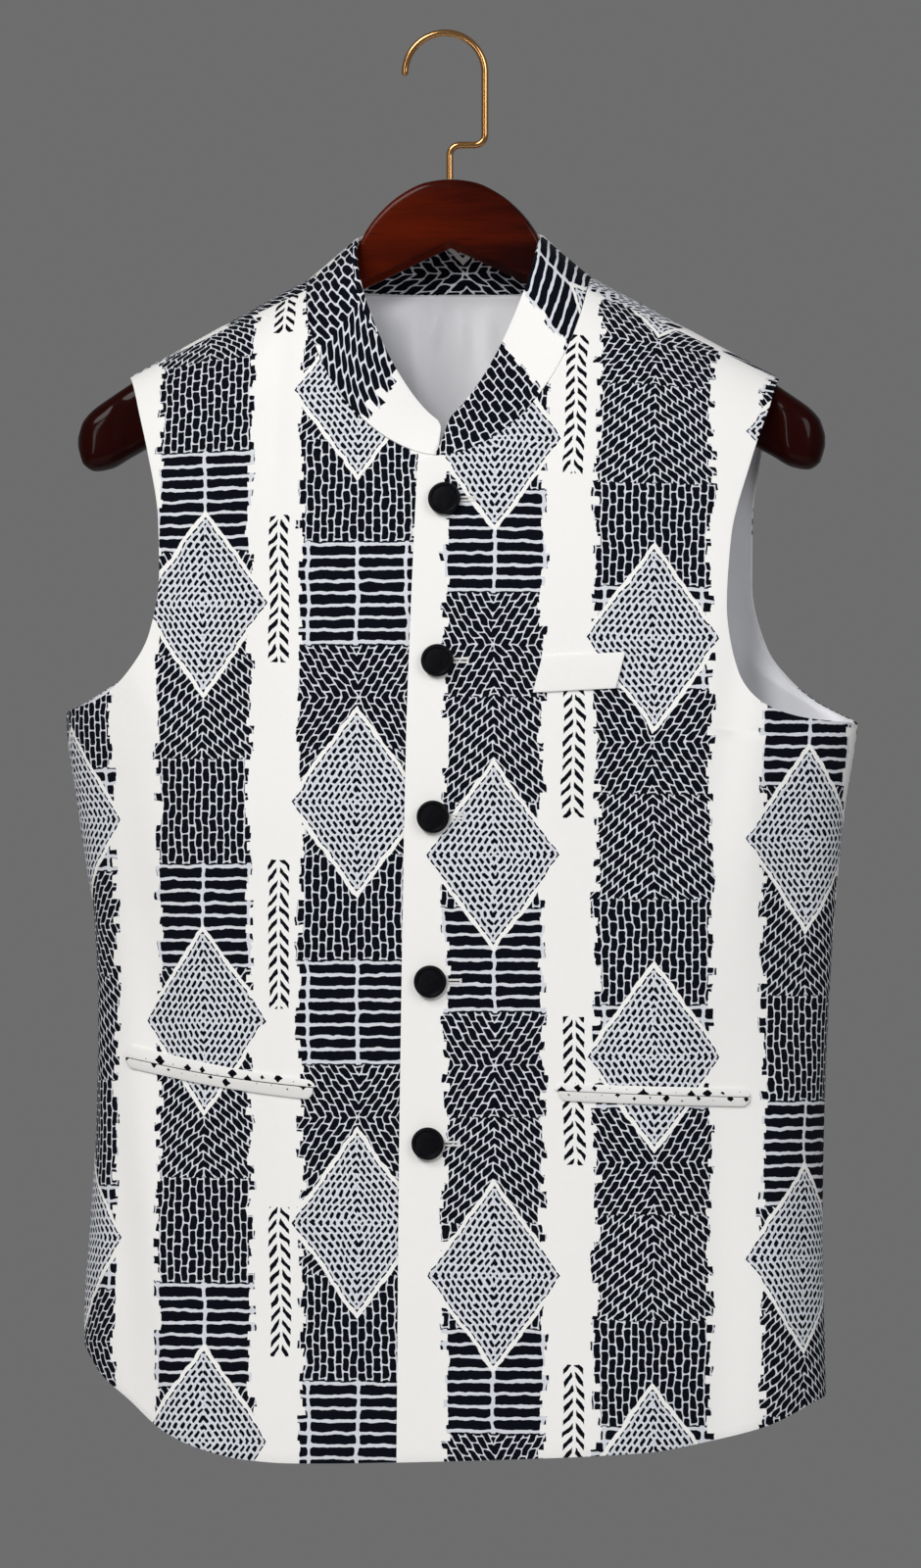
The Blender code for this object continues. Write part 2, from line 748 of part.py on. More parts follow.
def add_pockets(made, carrier):
    for row, name in enumerate(POCKET_NAMES):
        def read(column, row=row):
            return POCKET_LIPS.read(column, row)

        def spot(s, f):
            x = blend(read("outer"), read("inner"), s)
            z = blend(read("outer_height"), read("inner_height"), s)
            return x, z + f * blend(read("outer_width"), read("inner_width"), s)
        add_trim(name, LIP_COLUMNS, 1, spot, made, carrier)

    def welt(s, f):
        z = blend(WELT["left_height"], WELT["right_height"], s)
        x = blend(WELT["left"], WELT["right"], s)
        return x + WELT["skew"] * f, z + WELT["height"] * f
    add_trim("chest_welt", WELT_COLUMNS, 2, welt, made, carrier)


def add_button(number, height, made, carrier):
    """A round button with a raised rim, turned from its profile, on its short shank."""
    bm = bmesh.new()
    rim = [bm.verts.new((radius * MM, 0, rise * MM)) for radius, rise in BUTTON_PROFILE]
    edges = [bm.edges.new(pair) for pair in zip(rim, rim[1:])]
    bmesh.ops.spin(bm, geom=rim + edges, cent=(0, 0, 0), axis=(0, 0, 1),
                   angle=2 * math.pi, steps=BUTTON_STEPS, use_duplicate=False)
    bmesh.ops.remove_doubles(bm, verts=bm.verts, dist=1e-6)
    item = add_object(f"button_{number}", bm, made, carrier)
    place = locate(CENTRE_LINE.read("across", height), height)
    item.location = cloth(place, LAY_GAP) * MM
    item.rotation_euler = outward(*place).to_track_quat("Z", "Y").to_euler()
    return item


def wood_ring(bm, x):
    """One section of the hanger's arm, a flattened oval in the plane across the arm."""
    reach = abs(x)
    top = ridge(x) - WOOD.read("under_ridge", reach)
    bottom = WOOD.read("bottom", reach)
    depth = WOOD.read("half_depth", reach)
    middle, half = (top + bottom) / 2, (top - bottom) / 2
    ring = bmesh.ops.create_circle(bm, segments=WOOD_SIDES, radius=1)["verts"]
    edges = {edge for vert in ring for edge in vert.link_edges}
    for vert in ring:
        across = signed_power(vert.co.x, 2 / WOOD_ROUNDNESS) * depth
        up = signed_power(vert.co.y, 2 / WOOD_ROUNDNESS) * half
        vert.co = Vector((x, across, middle + up)) * MM
    return list(edges)


def add_hanger(made, carrier):
    """Wooden arms and head, bridged from section to section and closed at both ends."""
    reaches = [row[0] for row in WOOD.rows]
    reaches += [(a + b) / 2 for a, b in zip(reaches, reaches[1:]) if b - a > WOOD_LONG_STEP]
    places = sorted({-reach for reach in reaches} | set(reaches))
    bm = bmesh.new()
    rings = [wood_ring(bm, x) for x in places]
    for before, after in zip(rings, rings[1:]):
        bmesh.ops.bridge_loops(bm, edges=before + after)
    for ring in (rings[0], rings[-1]):
        bmesh.ops.contextual_create(bm, geom=ring)
    return add_object("hanger", bm, made, carrier)


def arc(centre, radius, start, end, steps):
    """Points of an arc in the plane of the hanger, angles in degrees."""
    turns = [math.radians(blend(start, end, k / steps)) for k in range(steps + 1)]
    return [(centre[0] + radius * math.cos(t), centre[1] + radius * math.sin(t)) for t in turns]


def hook_path():
    """Middle line of the wire, from its tip over the crown down to the wood."""
    crown = (HOOK_CROWN, WIRE_RADIUS - HOOK_RADIUS)
    leg = HOOK_CROWN + HOOK_RADIUS
    inner = HOOK_STEM + HOOK_BEND
    return (arc(crown, HOOK_RADIUS, 179, 0, 30)
            + arc((leg - HOOK_BEND, HOOK_RUN + HOOK_BEND), HOOK_BEND, 0, -90, 6)
            + arc((inner, HOOK_RUN - HOOK_BEND), HOOK_BEND, 90, 180, 6)
            + [(HOOK_STEM, HOOK_STEM_END)])


def add_hook(made, carrier):
    """Wire hook, a round wire along its middle line."""
    curve = bpy.data.curves.new("hanger_hook", "CURVE")
    curve.dimensions = "3D"
    curve.bevel_depth = WIRE_RADIUS * MM
    curve.bevel_resolution = 3
    curve.use_fill_caps = True
    points = hook_path()
    spline = curve.splines.new("POLY")
    spline.points.add(len(points) - 1)
    for point, (x, z) in zip(spline.points, points):
        point.co = (x * MM, 0, z * MM, 1)
    curve.materials.append(made)
    item = bpy.data.objects.new("hanger_hook", curve)
    bpy.context.scene.collection.objects.link(item)
    item.parent = carrier
    return item


def main():
    clear_scene()
    carrier = bpy.data.objects.new("hanger_middle", None)
    carrier.location = (HANGER_OFFSET * MM, 0, 0)
    bpy.context.scene.collection.objects.link(carrier)

    add_front("front_left", 1, material("ivory print, upper front", (0.80, 0.79, 0.76), 0.85), carrier)
    add_front("front_right", -1, material("ivory print, under front", (0.74, 0.74, 0.72), 0.85), carrier)
    add_back(material("ivory print, back", (0.68, 0.68, 0.67), 0.85), carrier)
    add_lining(material("white lining", (0.75, 0.76, 0.82), 0.5), carrier)
    add_collar(material("ivory print, collar", (0.62, 0.62, 0.60), 0.85), carrier)
    add_pockets(material("ivory trim", (0.5, 0.5, 0.48), 0.85), carrier)
    black = material("black button", (0.01, 0.01, 0.012), 0.3)
    for number, height in enumerate(BUTTON_HEIGHTS, start=1):
        add_button(number, height, black, carrier)
    add_hanger(material("dark wood", (0.06, 0.012, 0.006), 0.2), carrier)
    add_hook(material("brass wire", (0.55, 0.3, 0.12), 0.25, 1.0), carrier)


main()
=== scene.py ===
"""Looks of a sleeveless nehru jacket on a wooden hanger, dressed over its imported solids.

Lengths are in millimetres in the shaping functions and become metres in the meshes.
The jacket's front looks along -Y, and the wearer's left is at +X.
"""

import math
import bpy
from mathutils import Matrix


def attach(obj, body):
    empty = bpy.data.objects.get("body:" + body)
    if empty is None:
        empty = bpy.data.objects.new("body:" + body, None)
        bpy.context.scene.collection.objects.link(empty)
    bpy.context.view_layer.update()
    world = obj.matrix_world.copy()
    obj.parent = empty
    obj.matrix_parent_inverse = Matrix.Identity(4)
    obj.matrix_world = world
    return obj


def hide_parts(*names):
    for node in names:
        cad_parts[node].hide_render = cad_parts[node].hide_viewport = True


bl_info = {
    "name": "Nehru Jacket on a Hanger",
    "version": (1, 0, 0),
    "blender": (4, 5, 0),
    "location": "View3D > Sidebar > Jacket",
    "description": "Cloth, lining, buttons, hanger and a plain studio for a nehru jacket",
    "category": "Object",
}

from bisect import bisect_right
from functools import cache, partialmethod

import bmesh
import bpy
from bpy.props import FloatVectorProperty, PointerProperty
from mathutils import Vector

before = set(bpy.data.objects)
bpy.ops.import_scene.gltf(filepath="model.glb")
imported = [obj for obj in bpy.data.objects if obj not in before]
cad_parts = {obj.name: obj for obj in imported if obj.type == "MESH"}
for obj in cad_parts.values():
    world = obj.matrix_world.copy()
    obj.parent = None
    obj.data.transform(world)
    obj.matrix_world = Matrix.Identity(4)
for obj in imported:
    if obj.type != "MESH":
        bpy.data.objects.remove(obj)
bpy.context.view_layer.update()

MM = 0.001
BODY = "root"
OFFSET = 3.5                  # the jacket's middle stands this far beside the hook's crown

# Body of the jacket
ROUNDNESS = 2.2
RIDGE_TOP = -94.1
RIDGE_SLOPE = 0.5516
RIDGE_BLEND = 30.0
SHOULDER_ROLL = 60.0
CHEST_ROLL = 320.0
ROLL_SHARE = 0.45
UNROLL = 40.0
SIDE = math.pi / 2            # turn at the wearer's left side seam
NEARLY_HALF = 200             # half width that the search for the true one starts from

# Neck and band collar
NECK_HALF = 84.0
NECK_FRONT_DROP = 106.0
NECK_BACK_DROP = 8.0
NECK_FRONT_POWER = 1.8
NECK_BACK_POWER = 2.4
COLLAR_TOP_HALF = 55.0
COLLAR_TOP = -119.0
COLLAR_TOP_FRONT_DROP = 110.0
COLLAR_TOP_BACK_RISE = 5.0
COLLAR_TOP_FRONT_POWER = 1.4
COLLAR_TOP_BACK_POWER = 2.2
COLLAR_LEAN = 0.8
COLLAR_LIFT = 0.4
COLLAR_ENDS = (-179.0, 181.7)
COLLAR_ROUND = (7.0, 15.5)
COLLAR_ROUND_CUT = (0.18, 0.9)
COLLAR_UNDER = 3.2            # how far its under end steps back
COLLAR_UNDER_FROM = 135       # from where round the neck, in degrees, and over how many
COLLAR_UNDER_OVER = 30
COLLAR_STEPS = 480            # steps in which its length is measured, this far up it
COLLAR_PACE_HEIGHT = 0.4
PATH_STEPS = 240              # steps in which the panels' edges are measured

# Front closing
LAP = 17.3
UNDERLAP = 18.0
UNDER_INSET = 2.3
UNDER_BLEND = 38.0
FRONT_CORNER = -255.0
CORNER_RADIUS = 4.0
SHOULDER_SEAM_NECK = 26.0
SHOULDER_SEAM_TIP = 9.0
SHOULDER_TIP = {"right": 190.8, "left": 195.5}
ARMHOLE_TOP = 0.92
CORNER_SHARE = 0.76
BACK_HEM_RISE = 5.0
BUTTON_HEIGHTS = (-275.0, -370.0, -461.7, -558.5, -653.7)


class Table:
    """A short table of sizes with named columns, read smoothly between its rows."""

    def __init__(self, columns, rows):
        rows = sorted(rows)
        self.keys = [row[0] for row in rows]
        self.columns = {}
        for column, name in enumerate(columns.split()):
            values = [row[column] for row in rows]
            steps = [(b - a) / (q - p) for a, b, p, q
                     in zip(values, values[1:], self.keys, self.keys[1:])]
            slopes = [steps[0]]
            for before, after in zip(steps, steps[1:]):
                even = 2 * before * after / (before + after) if before * after > 0 else 0.0
                slopes.append(even)
            self.columns[name] = values, slopes + [steps[-1]]

    def read(self, column, key):
        values, slopes = self.columns[column]
        keys = self.keys
        if key <= keys[0]:
            return values[0]
        if key >= keys[-1]:
            return values[-1]
        i = bisect_right(keys, key) - 1
        width = keys[i + 1] - keys[i]
        t = (key - keys[i]) / width
        back = 1 - t
        return (back * back * ((1 + 2 * t) * values[i] + t * width * slopes[i])
                + t * t * ((3 - 2 * t) * values[i + 1] - back * width * slopes[i + 1]))


SIDES = Table("height right left", [
    (-842, 219.4, 223.6),
    (-756, 218.6, 221.8),
    (-698, 214.8, 220.9),
    (-640, 211.3, 221.8),
    (-582, 210.4, 224.0),
    (-524, 212.5, 227.6),
    (-490, 217.7, 230.6),
    (-454, 223.0, 234.6),
    (-403, 229.5, 241.6),
    (-200, 229.5, 241.6),
])
DEPTHS = Table("height front back", [
    (-842, 66, 60),
    (-640, 64, 58),
    (-400, 68, 62),
    (-100, 68, 62),
])
CENTRE_LINE = Table("height across", [
    (-840, -7.3),
    (-680, -6.2),
    (-560, -4.4),
    (-410, -1.2),
    (-330, 1.6),
    (-250, 4.8),
])
HEM = Table("across height", [
    (-219.4, -772),
    (-205, -791),
    (-187, -806),
    (-165, -824),
    (-141, -834.6),
    (-118, -840),
    (-88, -842),
    (40, -839),
    (120, -835),
    (160, -828),
    (190, -820),
    (223.6, -803),
])
ARMHOLE_FRONT = Table("share right right_height left left_height", [
    (0.00, 229.5, -400.0, 241.6, -406.6),
    (0.12, 206.0, -392.0, 214.0, -403.5),
    (0.24, 186.0, -375.0, 189.0, -394.5),
    (0.36, 174.0, -353.0, 175.5, -376.0),
    (0.50, 168.3, -320.0, 168.6, -337.0),
    (0.64, 169.5, -285.0, 170.8, -298.0),
    (0.80, 176.5, -246.0, 182.0, -252.0),
    (0.92, 184.5, -216.0, 192.0, -219.0),
])
ARMHOLE_BACK = Table("share right right_height left left_height", [
    (0.00, 229.5, -400.0, 241.6, -406.6),
    (0.12, 212.0, -388.0, 214.0, -393.0),
    (0.24, 195.0, -375.0, 197.0, -379.0),
    (0.36, 183.5, -356.0, 184.6, -362.0),
    (0.50, 175.5, -322.0, 175.5, -326.0),
    (0.64, 174.6, -284.0, 176.0, -288.0),
    (0.80, 179.0, -244.0, 182.0, -248.0),
    (0.92, 185.5, -215.0, 190.5, -218.0),
])
WOOD = Table("reach under_ridge bottom half_depth", [
    (0, -25.9, -125.3, 7.0),
    (15, -26.0, -132.2, 7.0),
    (30, -23.5, -139.3, 7.0),
    (43, -17.5, -145.5, 7.2),
    (52, -9.0, -149.5, 7.5),
    (58, 1.5, -152.5, 8.0),
    (66, 4.6, -157.0, 8.6),
    (84, 5.6, -167.5, 10.0),
    (120, 4.6, -193.0, 12.0),
    (150, 3.4, -219.0, 12.4),
    (180, 3.6, -242.5, 12.8),
    (192, 4.6, -249.5, 13.4),
    (203, 6.0, -255.5, 16.0),
    (212, 7.4, -257.0, 15.5),
    (219, 11.0, -253.0, 11.5),
    (222, 18.0, -244.0, 5.5),
])

# Soft folds, each a line from one point of the front view to another: x, height, x, height,
# how wide it is to each side and how far it stands out (or lies in, where negative).
FRONT_FOLDS = (
    (-96, -170, -100, -262, 7, -1.2),
    (-108, -178, -113, -290, 8, 1.0),
    (-80, -205, -92, -330, 12, 0.9),
    (-150, -250, -122, -420, 20, -2.0),
    (-190, -365, -128, -470, 14, 1.5),
    (-196, -430, -160, -640, 16, -2.1),
    (-178, -640, -150, -850, 15, 2.5),
    (-120, -640, -128, -850, 19, -2.2),
    (-88, -470, -78, -700, 24, 1.8),
    (-60, -660, -66, -850, 17, 2.0),
    (-36, -720, -40, -850, 11, -1.3),
    (-205, -600, -200, -800, 9, 1.8),
    (24, -300, 34, -470, 14, 1.0),
    (30, -660, 22, -850, 15, 1.7),
    (58, -640, 66, -850, 17, -2.1),
    (96, -170, 104, -300, 9, -1.0),
    (118, -205, 122, -320, 13, 1.2),
    (152, -260, 130, -400, 18, -1.7),
    (177, -345, 160, -480, 10, -1.4),
    (193, -350, 178, -520, 11, 1.4),
    (150, -470, 138, -600, 20, 1.6),
    (122, -640, 118, -850, 18, 2.3),
    (160, -630, 166, -850, 15, -2.6),
    (196, -620, 192, -830, 14, 2.5),
    (205, -470, 208, -600, 12, -1.7),
    (92, -420, 90, -560, 18, -1.0),
)
BACK_FOLDS = (
    (-150, -190, -118, -330, 17, 1.7),
    (-120, -250, -96, -520, 24, -2.5),
    (-172, -380, -140, -520, 14, -2.1),
    (-160, -480, -152, -850, 19, 3.1),
    (-112, -560, -108, -850, 17, -2.5),
    (-66, -520, -74, -850, 22, 2.7),
    (-30, -180, -26, -420, 20, 1.2),
    (-24, -600, -20, -850, 16, -1.7),
    (-4, -150, 14, -150, 9, -1.0),
    (22, -540, 18, -850, 18, 2.1),
    (48, -200, 70, -480, 24, -2.0),
    (72, -600, 80, -850, 19, -2.6),
    (130, -200, 108, -360, 17, 1.8),
    (168, -385, 132, -520, 13, -2.0),
    (118, -500, 124, -850, 20, 3.0),
    (166, -560, 170, -850, 15, -2.5),
    (200, -470, 198, -790, 13, 2.1),
    (-200, -520, -202, -780, 12, -1.7),
)
LINING_FOLDS = (      # these stand out towards the neck and the armholes where positive
    (-13, -150, -15, -178, 2.6, -2.6),
    (1, -148, 3, -186, 3.4, -2.2),
    (-30, -150, -22, -230, 7, -3.0),
    (-8, -172, 4, -300, 8, 2.6),
    (16, -152, 20, -270, 6, -2.8),
    (34, -160, 30, -320, 9, 2.2),
    (-52, -180, -44, -330, 13, 1.8),
    (54, -190, 50, -360, 12, -2.1),
    (-40, -300, -60, -620, 20, -3.3),
    (10, -330, 6, -700, 22, 3.0),
    (70, -330, 88, -700, 20, -3.0),
    (-110, -300, -122, -700, 20, 2.8),
    (120, -300, 132, -560, 15, 2.7),
    (176, -350, 150, -470, 9, 2.4),
    (190, -400, 170, -560, 8, -2.4),
    (-176, -360, -156, -500, 9, -2.2),
    (-30, -640, -26, -840, 15, 2.7),
    (40, -620, 44, -840, 17, -2.7),
)

FOLD_TAIL = 0.3               # folds fade out this share of their length past each end
FOLD_WIDTHS = 3               # and are nothing this many widths aside
SIDE_CALM = 2.6               # they start this soon from a side seam
TOP_CALM = 8                  # this far below the shoulder's ridge
TOP_FADE = 45                 # and reach their height over this length
TURN_STEP = 0.004             # steps of turn and of length in which the cloth's slope is read
ALONG_STEP = 0.3


def signed_power(value, power):
    return math.copysign(abs(value) ** power, value)


def blend(start, end, share):
    return start + (end - start) * share


def ease(share):
    """Smooth step from 0 to 1."""
    share = min(1.0, max(0.0, share))
    return share * share * (3 - 2 * share)


def ridge(x):
    """Height of the shoulder's ridge at a place across."""
    return RIDGE_TOP - RIDGE_SLOPE * math.hypot(x, RIDGE_BLEND)


def roll(drop):
    """Share of the full depth that the cloth has reached at a drop below the ridge."""
    def quarter(reach):
        left = max(0.0, 1 - drop / reach)
        return math.sqrt(1 - left * left)
    return ROLL_SHARE * quarter(SHOULDER_ROLL) + (1 - ROLL_SHARE) * quarter(CHEST_ROLL)


def drop_of(along):
    return math.hypot(along, UNROLL) - UNROLL


def along_of(drop):
    return math.sqrt((max(0.0, drop) + UNROLL) ** 2 - UNROLL ** 2)


def side_name(across):
    return "left" if across > 0 else "right"


def face_point(turn, along):
    """Point on the cloth's outer face, before its folds.

    turn goes from one side seam to the other, along down the cloth from the shoulder's
    ridge, negative in front and positive behind.
    """
    drop = drop_of(along)
    across = signed_power(math.sin(turn), 2 / ROUNDNESS)
    name = side_name(turn)
    x = NEARLY_HALF * across
    for _ in range(5):
        x = SIDES.read(name, ridge(x) - drop) * across
    z = ridge(x) - drop
    depth = DEPTHS.read("back" if along > 0 else "front", z)
    y = math.copysign(depth * roll(drop) * abs(math.cos(turn)) ** (2 / ROUNDNESS), along)
    return Vector((x, y, z))


def outward(turn, along):
    """Unit normal of the cloth's outer face."""
    step = -TURN_STEP if turn > 0 else TURN_STEP
    across = (face_point(turn + step, along) - face_point(turn, along)) / step
    up = face_point(turn, along + ALONG_STEP) - face_point(turn, along - ALONG_STEP)
    return across.cross(up).normalized()


def fold_lift(folds, x, z):
    """How far the soft folds stand out at a point of the front view."""
    total = 0.0
    for x0, z0, x1, z1, width, rise in folds:
        run, fall = x1 - x0, z1 - z0
        length = math.hypot(run, fall)
        share = ((x - x0) * run + (z - z0) * fall) / length ** 2
        if -FOLD_TAIL < share < 1 + FOLD_TAIL:
            aside = ((x - x0) * fall - (z - z0) * run) / length / width
            if abs(aside) < FOLD_WIDTHS:
                fade = 2 * FOLD_TAIL
                ends = ease((share + FOLD_TAIL) / fade) * ease((1 + FOLD_TAIL - share) / fade)
                total += rise * ends * math.exp(-aside * aside)
    return total


def drape(turn, point, back):
    """Lift of the folds, calmed where the sides and the shoulders are sewn."""
    drop = ridge(point.x) - point.z
    calm = ease(math.cos(turn) * SIDE_CALM) * ease((drop - TOP_CALM) / TOP_FADE)
    return calm * fold_lift(BACK_FOLDS if back else FRONT_FOLDS, point.x, point.z)


def cloth(place, lift):
    """Point of the draped cloth at a place (turn, along), moved out by lift."""
    turn, along = place
    point = face_point(turn, along)
    return point + outward(turn, along) * (lift + drape(turn, point, along > 0))


def locate(x, z, back=False):
    """Place (turn, along) of a point given by its front view."""
    along = along_of(ridge(x) - z)
    reach = min(1.0, abs(x) / SIDES.read(side_name(x), z))
    turn = math.copysign(math.asin(reach ** (ROUNDNESS / 2)), x)
    return Vector((turn, along if back else -along))


def locate_along(x, along):
    """Place (turn, along) of a point given by its place across and its length along."""
    place = locate(x, ridge(x) - drop_of(along))
    return Vector((place.x, along))


def locate_turn(turn, z):
    """Place (turn, along) of a point in front given by its turn and its height."""
    x = SIDES.read(side_name(turn), z) * signed_power(math.sin(turn), 2 / ROUNDNESS)
    return Vector((turn, -along_of(ridge(x) - z)))


def even_pace(points):
    """Tells, for a share of the way along points, the point before it and how far past that."""
    lengths = [0.0]
    for before, after in zip(points, points[1:]):
        lengths.append(lengths[-1] + (after - before).length)

    def pace(share):
        goal = share * lengths[-1]
        k = min(len(points) - 2, max(0, bisect_right(lengths, goal) - 1))
        step = (goal - lengths[k]) / max(1e-9, lengths[k + 1] - lengths[k])
        return k, min(1.0, step)
    return pace


def evenly(path):
    """The same path over the cloth, run through at an even pace."""
    places = [path(k / PATH_STEPS) for k in range(PATH_STEPS + 1)]
    pace = even_pace([face_point(*place) for place in places])

    def even_path(share):
        k, step = pace(share)
        return places[k].lerp(places[k + 1], step)
    return even_path


def halved(low, high, rounds, holds):
    """Both ends of the gap between low and high in which a test stops holding."""
    for _ in range(rounds):
        middle = (low + high) / 2
        if holds(middle):
            low = middle
        else:
            high = middle
    return low, high


def patch(bottom, top, start, end, fade):
    """Place inside four edges: bottom and top run across, start and end run up."""
    bottom, top, start, end = map(cache, (bottom, top, start, end))

    def bend(edge, s):
        return edge(s) - edge(0.0).lerp(edge(1.0), s)

    def place(s, f):
        row = start(f).lerp(end(f), s)
        return row + bend(bottom, s) * (1 - f) ** fade + bend(top, s) * f ** fade
    return place


TURN_REACH = 200.0            # length of cloth that one radian of turn takes, about
SMOOTH_ROUNDS = 12


def unfolded(places, columns, rows, spots):
    """The same patch, smoothed near some spots so that no cell of its grid turns over.

    A spot is (column, row, columns and rows reached). The edges and all other points stay.
    """
    moving = [(i, j) for column, row, wide, high in spots
              for j in range(max(1, row - high), min(rows, row + high + 1))
              for i in range(max(1, column - wide), min(columns, column + wide + 1))]

    @cache
    def corner(i, j):
        place = places(i / columns, j / rows)
        return Vector((place.x * TURN_REACH, place.y))
    moved = {spot: corner(*spot) for spot in moving}

    def at(i, j):
        return moved[i, j] if (i, j) in moved else corner(i, j)
    for _ in range(SMOOTH_ROUNDS):
        for i, j in moving:
            right, left, above, below = at(i + 1, j), at(i - 1, j), at(i, j + 1), at(i, j - 1)
            across, up = (right - left) / 2, (above - below) / 2
            mixed = (at(i + 1, j + 1) - at(i - 1, j + 1) - at(i + 1, j - 1) + at(i - 1, j - 1)) / 4
            a, b, c = up.dot(up), across.dot(up), across.dot(across)
            pulled = a * (right + left) + c * (above + below) - 2 * b * mixed
            moved[i, j] = pulled / (2 * (a + c))

    def place(s, f):
        i, j = min(int(s * columns), columns - 1), min(int(f * rows), rows - 1)
        if not any((i + k, j + n) in moved for k in (0, 1) for n in (0, 1)):
            return places(s, f)
        share, up = s * columns - i, f * rows - j
        low, high = (at(i, row).lerp(at(i + 1, row), share) for row in (j, j + 1))
        point = low.lerp(high, up)
        return Vector((point.x / TURN_REACH, point.y))
    return place


def level(path):
    """A path's turn and height in place of its turn and length along the cloth."""
    def heights(share):
        place = path(share)
        return Vector((place.x, face_point(*place).z))
    return heights


# Where the panels' corners fall on their grids
FRONT_PARTS = (0.38, 0.66)    # underarm and the neck's corner, as shares of a front's rows
BACK_UNDERARM = 0.5
SEAM_SHARE = 4 / 26
BACK_ARMHOLE = Table("row share", [     # gathers the rows towards the shoulder's tip
    (0.00, 0.00),
    (0.15, 0.13),
    (0.30, 0.31),
    (0.50, 0.62),
    (0.70, 0.86),
    (0.85, 0.95),
    (1.00, 1.00),
])


def neckline(angle, side):
    """Place on the neckline; angle is 0 in the middle of the front and 180 in that of the back."""
    turn = math.radians(angle)
    back = angle > 90
    power = 2 / (NECK_BACK_POWER if back else NECK_FRONT_POWER)
    fall = NECK_BACK_DROP if back else NECK_FRONT_DROP
    x = side * NECK_HALF * abs(math.sin(turn)) ** power
    z = ridge(NECK_HALF) - fall * abs(math.cos(turn)) ** power
    return locate(x, z, back)


@cache
def neck_angle(along):
    """Angle at which the neckline lies at a length along the cloth."""
    return halved(30.0, 180.0, 40, lambda angle: neckline(angle, 1).y < along)[0]


def hem_place(turn, back=False):
    side = side_name(turn)
    x = SIDES.read(side, HEM.keys[0]) * signed_power(math.sin(turn), 2 / ROUNDNESS)
    z = HEM.read("height", x)
    if back:
        z += BACK_HEM_RISE * math.cos(turn)
    return locate(x, z, back)


def side_height(side):
    """Heights of the side seam's foot and of the underarm."""
    foot = face_point(*hem_place(SIDE if side > 0 else -SIDE)).z
    return foot, ARMHOLE_FRONT.read(side_name(side) + "_height", 0)


def armhole_place(share, side, table, back, tip):
    """Place on an armhole's edge, from the underarm (0) to the shoulder's tip (1)."""
    name = side_name(side)
    low = min(share, ARMHOLE_TOP)
    place = locate(side * table.read(name, low), table.read(name + "_height", low), back)
    if share > ARMHOLE_TOP:
        place = place.lerp(tip, (share - ARMHOLE_TOP) / (1 - ARMHOLE_TOP))
    return place


def shoulder_seam(share, side):
    """Place on the line of a shoulder seam, from the neck (0) to the tip (1)."""
    neck_x = abs(face_point(*neckline(neck_angle(-SHOULDER_SEAM_NECK), side)).x)
    x = side * blend(neck_x, SHOULDER_TIP[side_name(side)], share)
    return locate_along(x, -blend(SHOULDER_SEAM_NECK, SHOULDER_SEAM_TIP, share))


def front_edge(z, side):
    """Free edge of a front: the upper front lies on the wearer's left."""
    line = CENTRE_LINE.read("across", z)
    return line - LAP if side > 0 else line + UNDERLAP


def front_top(side):
    """Top edge of a front from its corner (0) to the shoulder seam (1)."""
    corner = front_edge(FRONT_CORNER, side)
    inward = side * CORNER_RADIUS
    last = neck_angle(-SHOULDER_SEAM_NECK)
    middle_z = ridge(NECK_HALF) - NECK_FRONT_DROP
    neck_part = evenly(lambda share: neckline(blend(0.0, last, share), side))

    def place(share):
        if share < 0.2:
            turn = share / 0.2 * math.pi / 2
            x = corner + inward * (1 - math.cos(turn))
            return locate(x, FRONT_CORNER + CORNER_RADIUS * math.sin(turn))
        if share < 0.3:
            part = (share - 0.2) / 0.1
            return locate(blend(corner + inward, 0.0, part),
                          blend(FRONT_CORNER + CORNER_RADIUS, middle_z, part))
        return neck_part((share - 0.3) / 0.7)
    return place


# Columns and rows of the panels' meshes, and the spots where cells would turn over
FRONT_GRID = (96, 190)
BACK_GRID = (156, 180)
BACK_SPOTS = [(140, 96, 25, 30)]   # the wearer's left underarm


def front_patch(side):
    """Places of a front: s from the free edge to the side, f from the hem to the shoulder."""
    under, corner = FRONT_PARTS
    foot, underarm = side_height(side)
    edge_foot = HEM.read("height", front_edge(HEM.read("height", 0), side))
    tip = shoulder_seam(1, side)
    top_edge = front_top(side)

    def free_edge(f):
        if f >= corner:
            return top_edge((f - corner) / (1 - corner))
        if f < under:
            z = blend(edge_foot, underarm, f / under)
        else:
            z = blend(underarm, FRONT_CORNER, (f - under) / (corner - under))
        return locate(front_edge(z, side), z)

    def side_edge(f):
        if f < under:
            z = blend(foot, underarm, f / under)
            return locate(side * SIDES.read(side_name(side), z), z)
        if f < corner:
            share = blend(0, CORNER_SHARE, (f - under) / (corner - under))
        else:
            share = blend(CORNER_SHARE, 1, (f - corner) / (1 - corner))
        return armhole_place(share, side, ARMHOLE_FRONT, False, tip)

    hem_start = locate(front_edge(edge_foot, side), edge_foot).x
    hem = evenly(lambda s: hem_place(blend(hem_start, side * SIDE, s)))
    seam = evenly(lambda s: shoulder_seam(s, side))
    flat = patch(level(hem), level(seam), level(free_edge), level(side_edge), 3)

    def place(s, f):
        turn, z = flat(s, f)
        return locate_turn(turn, z)
    return place


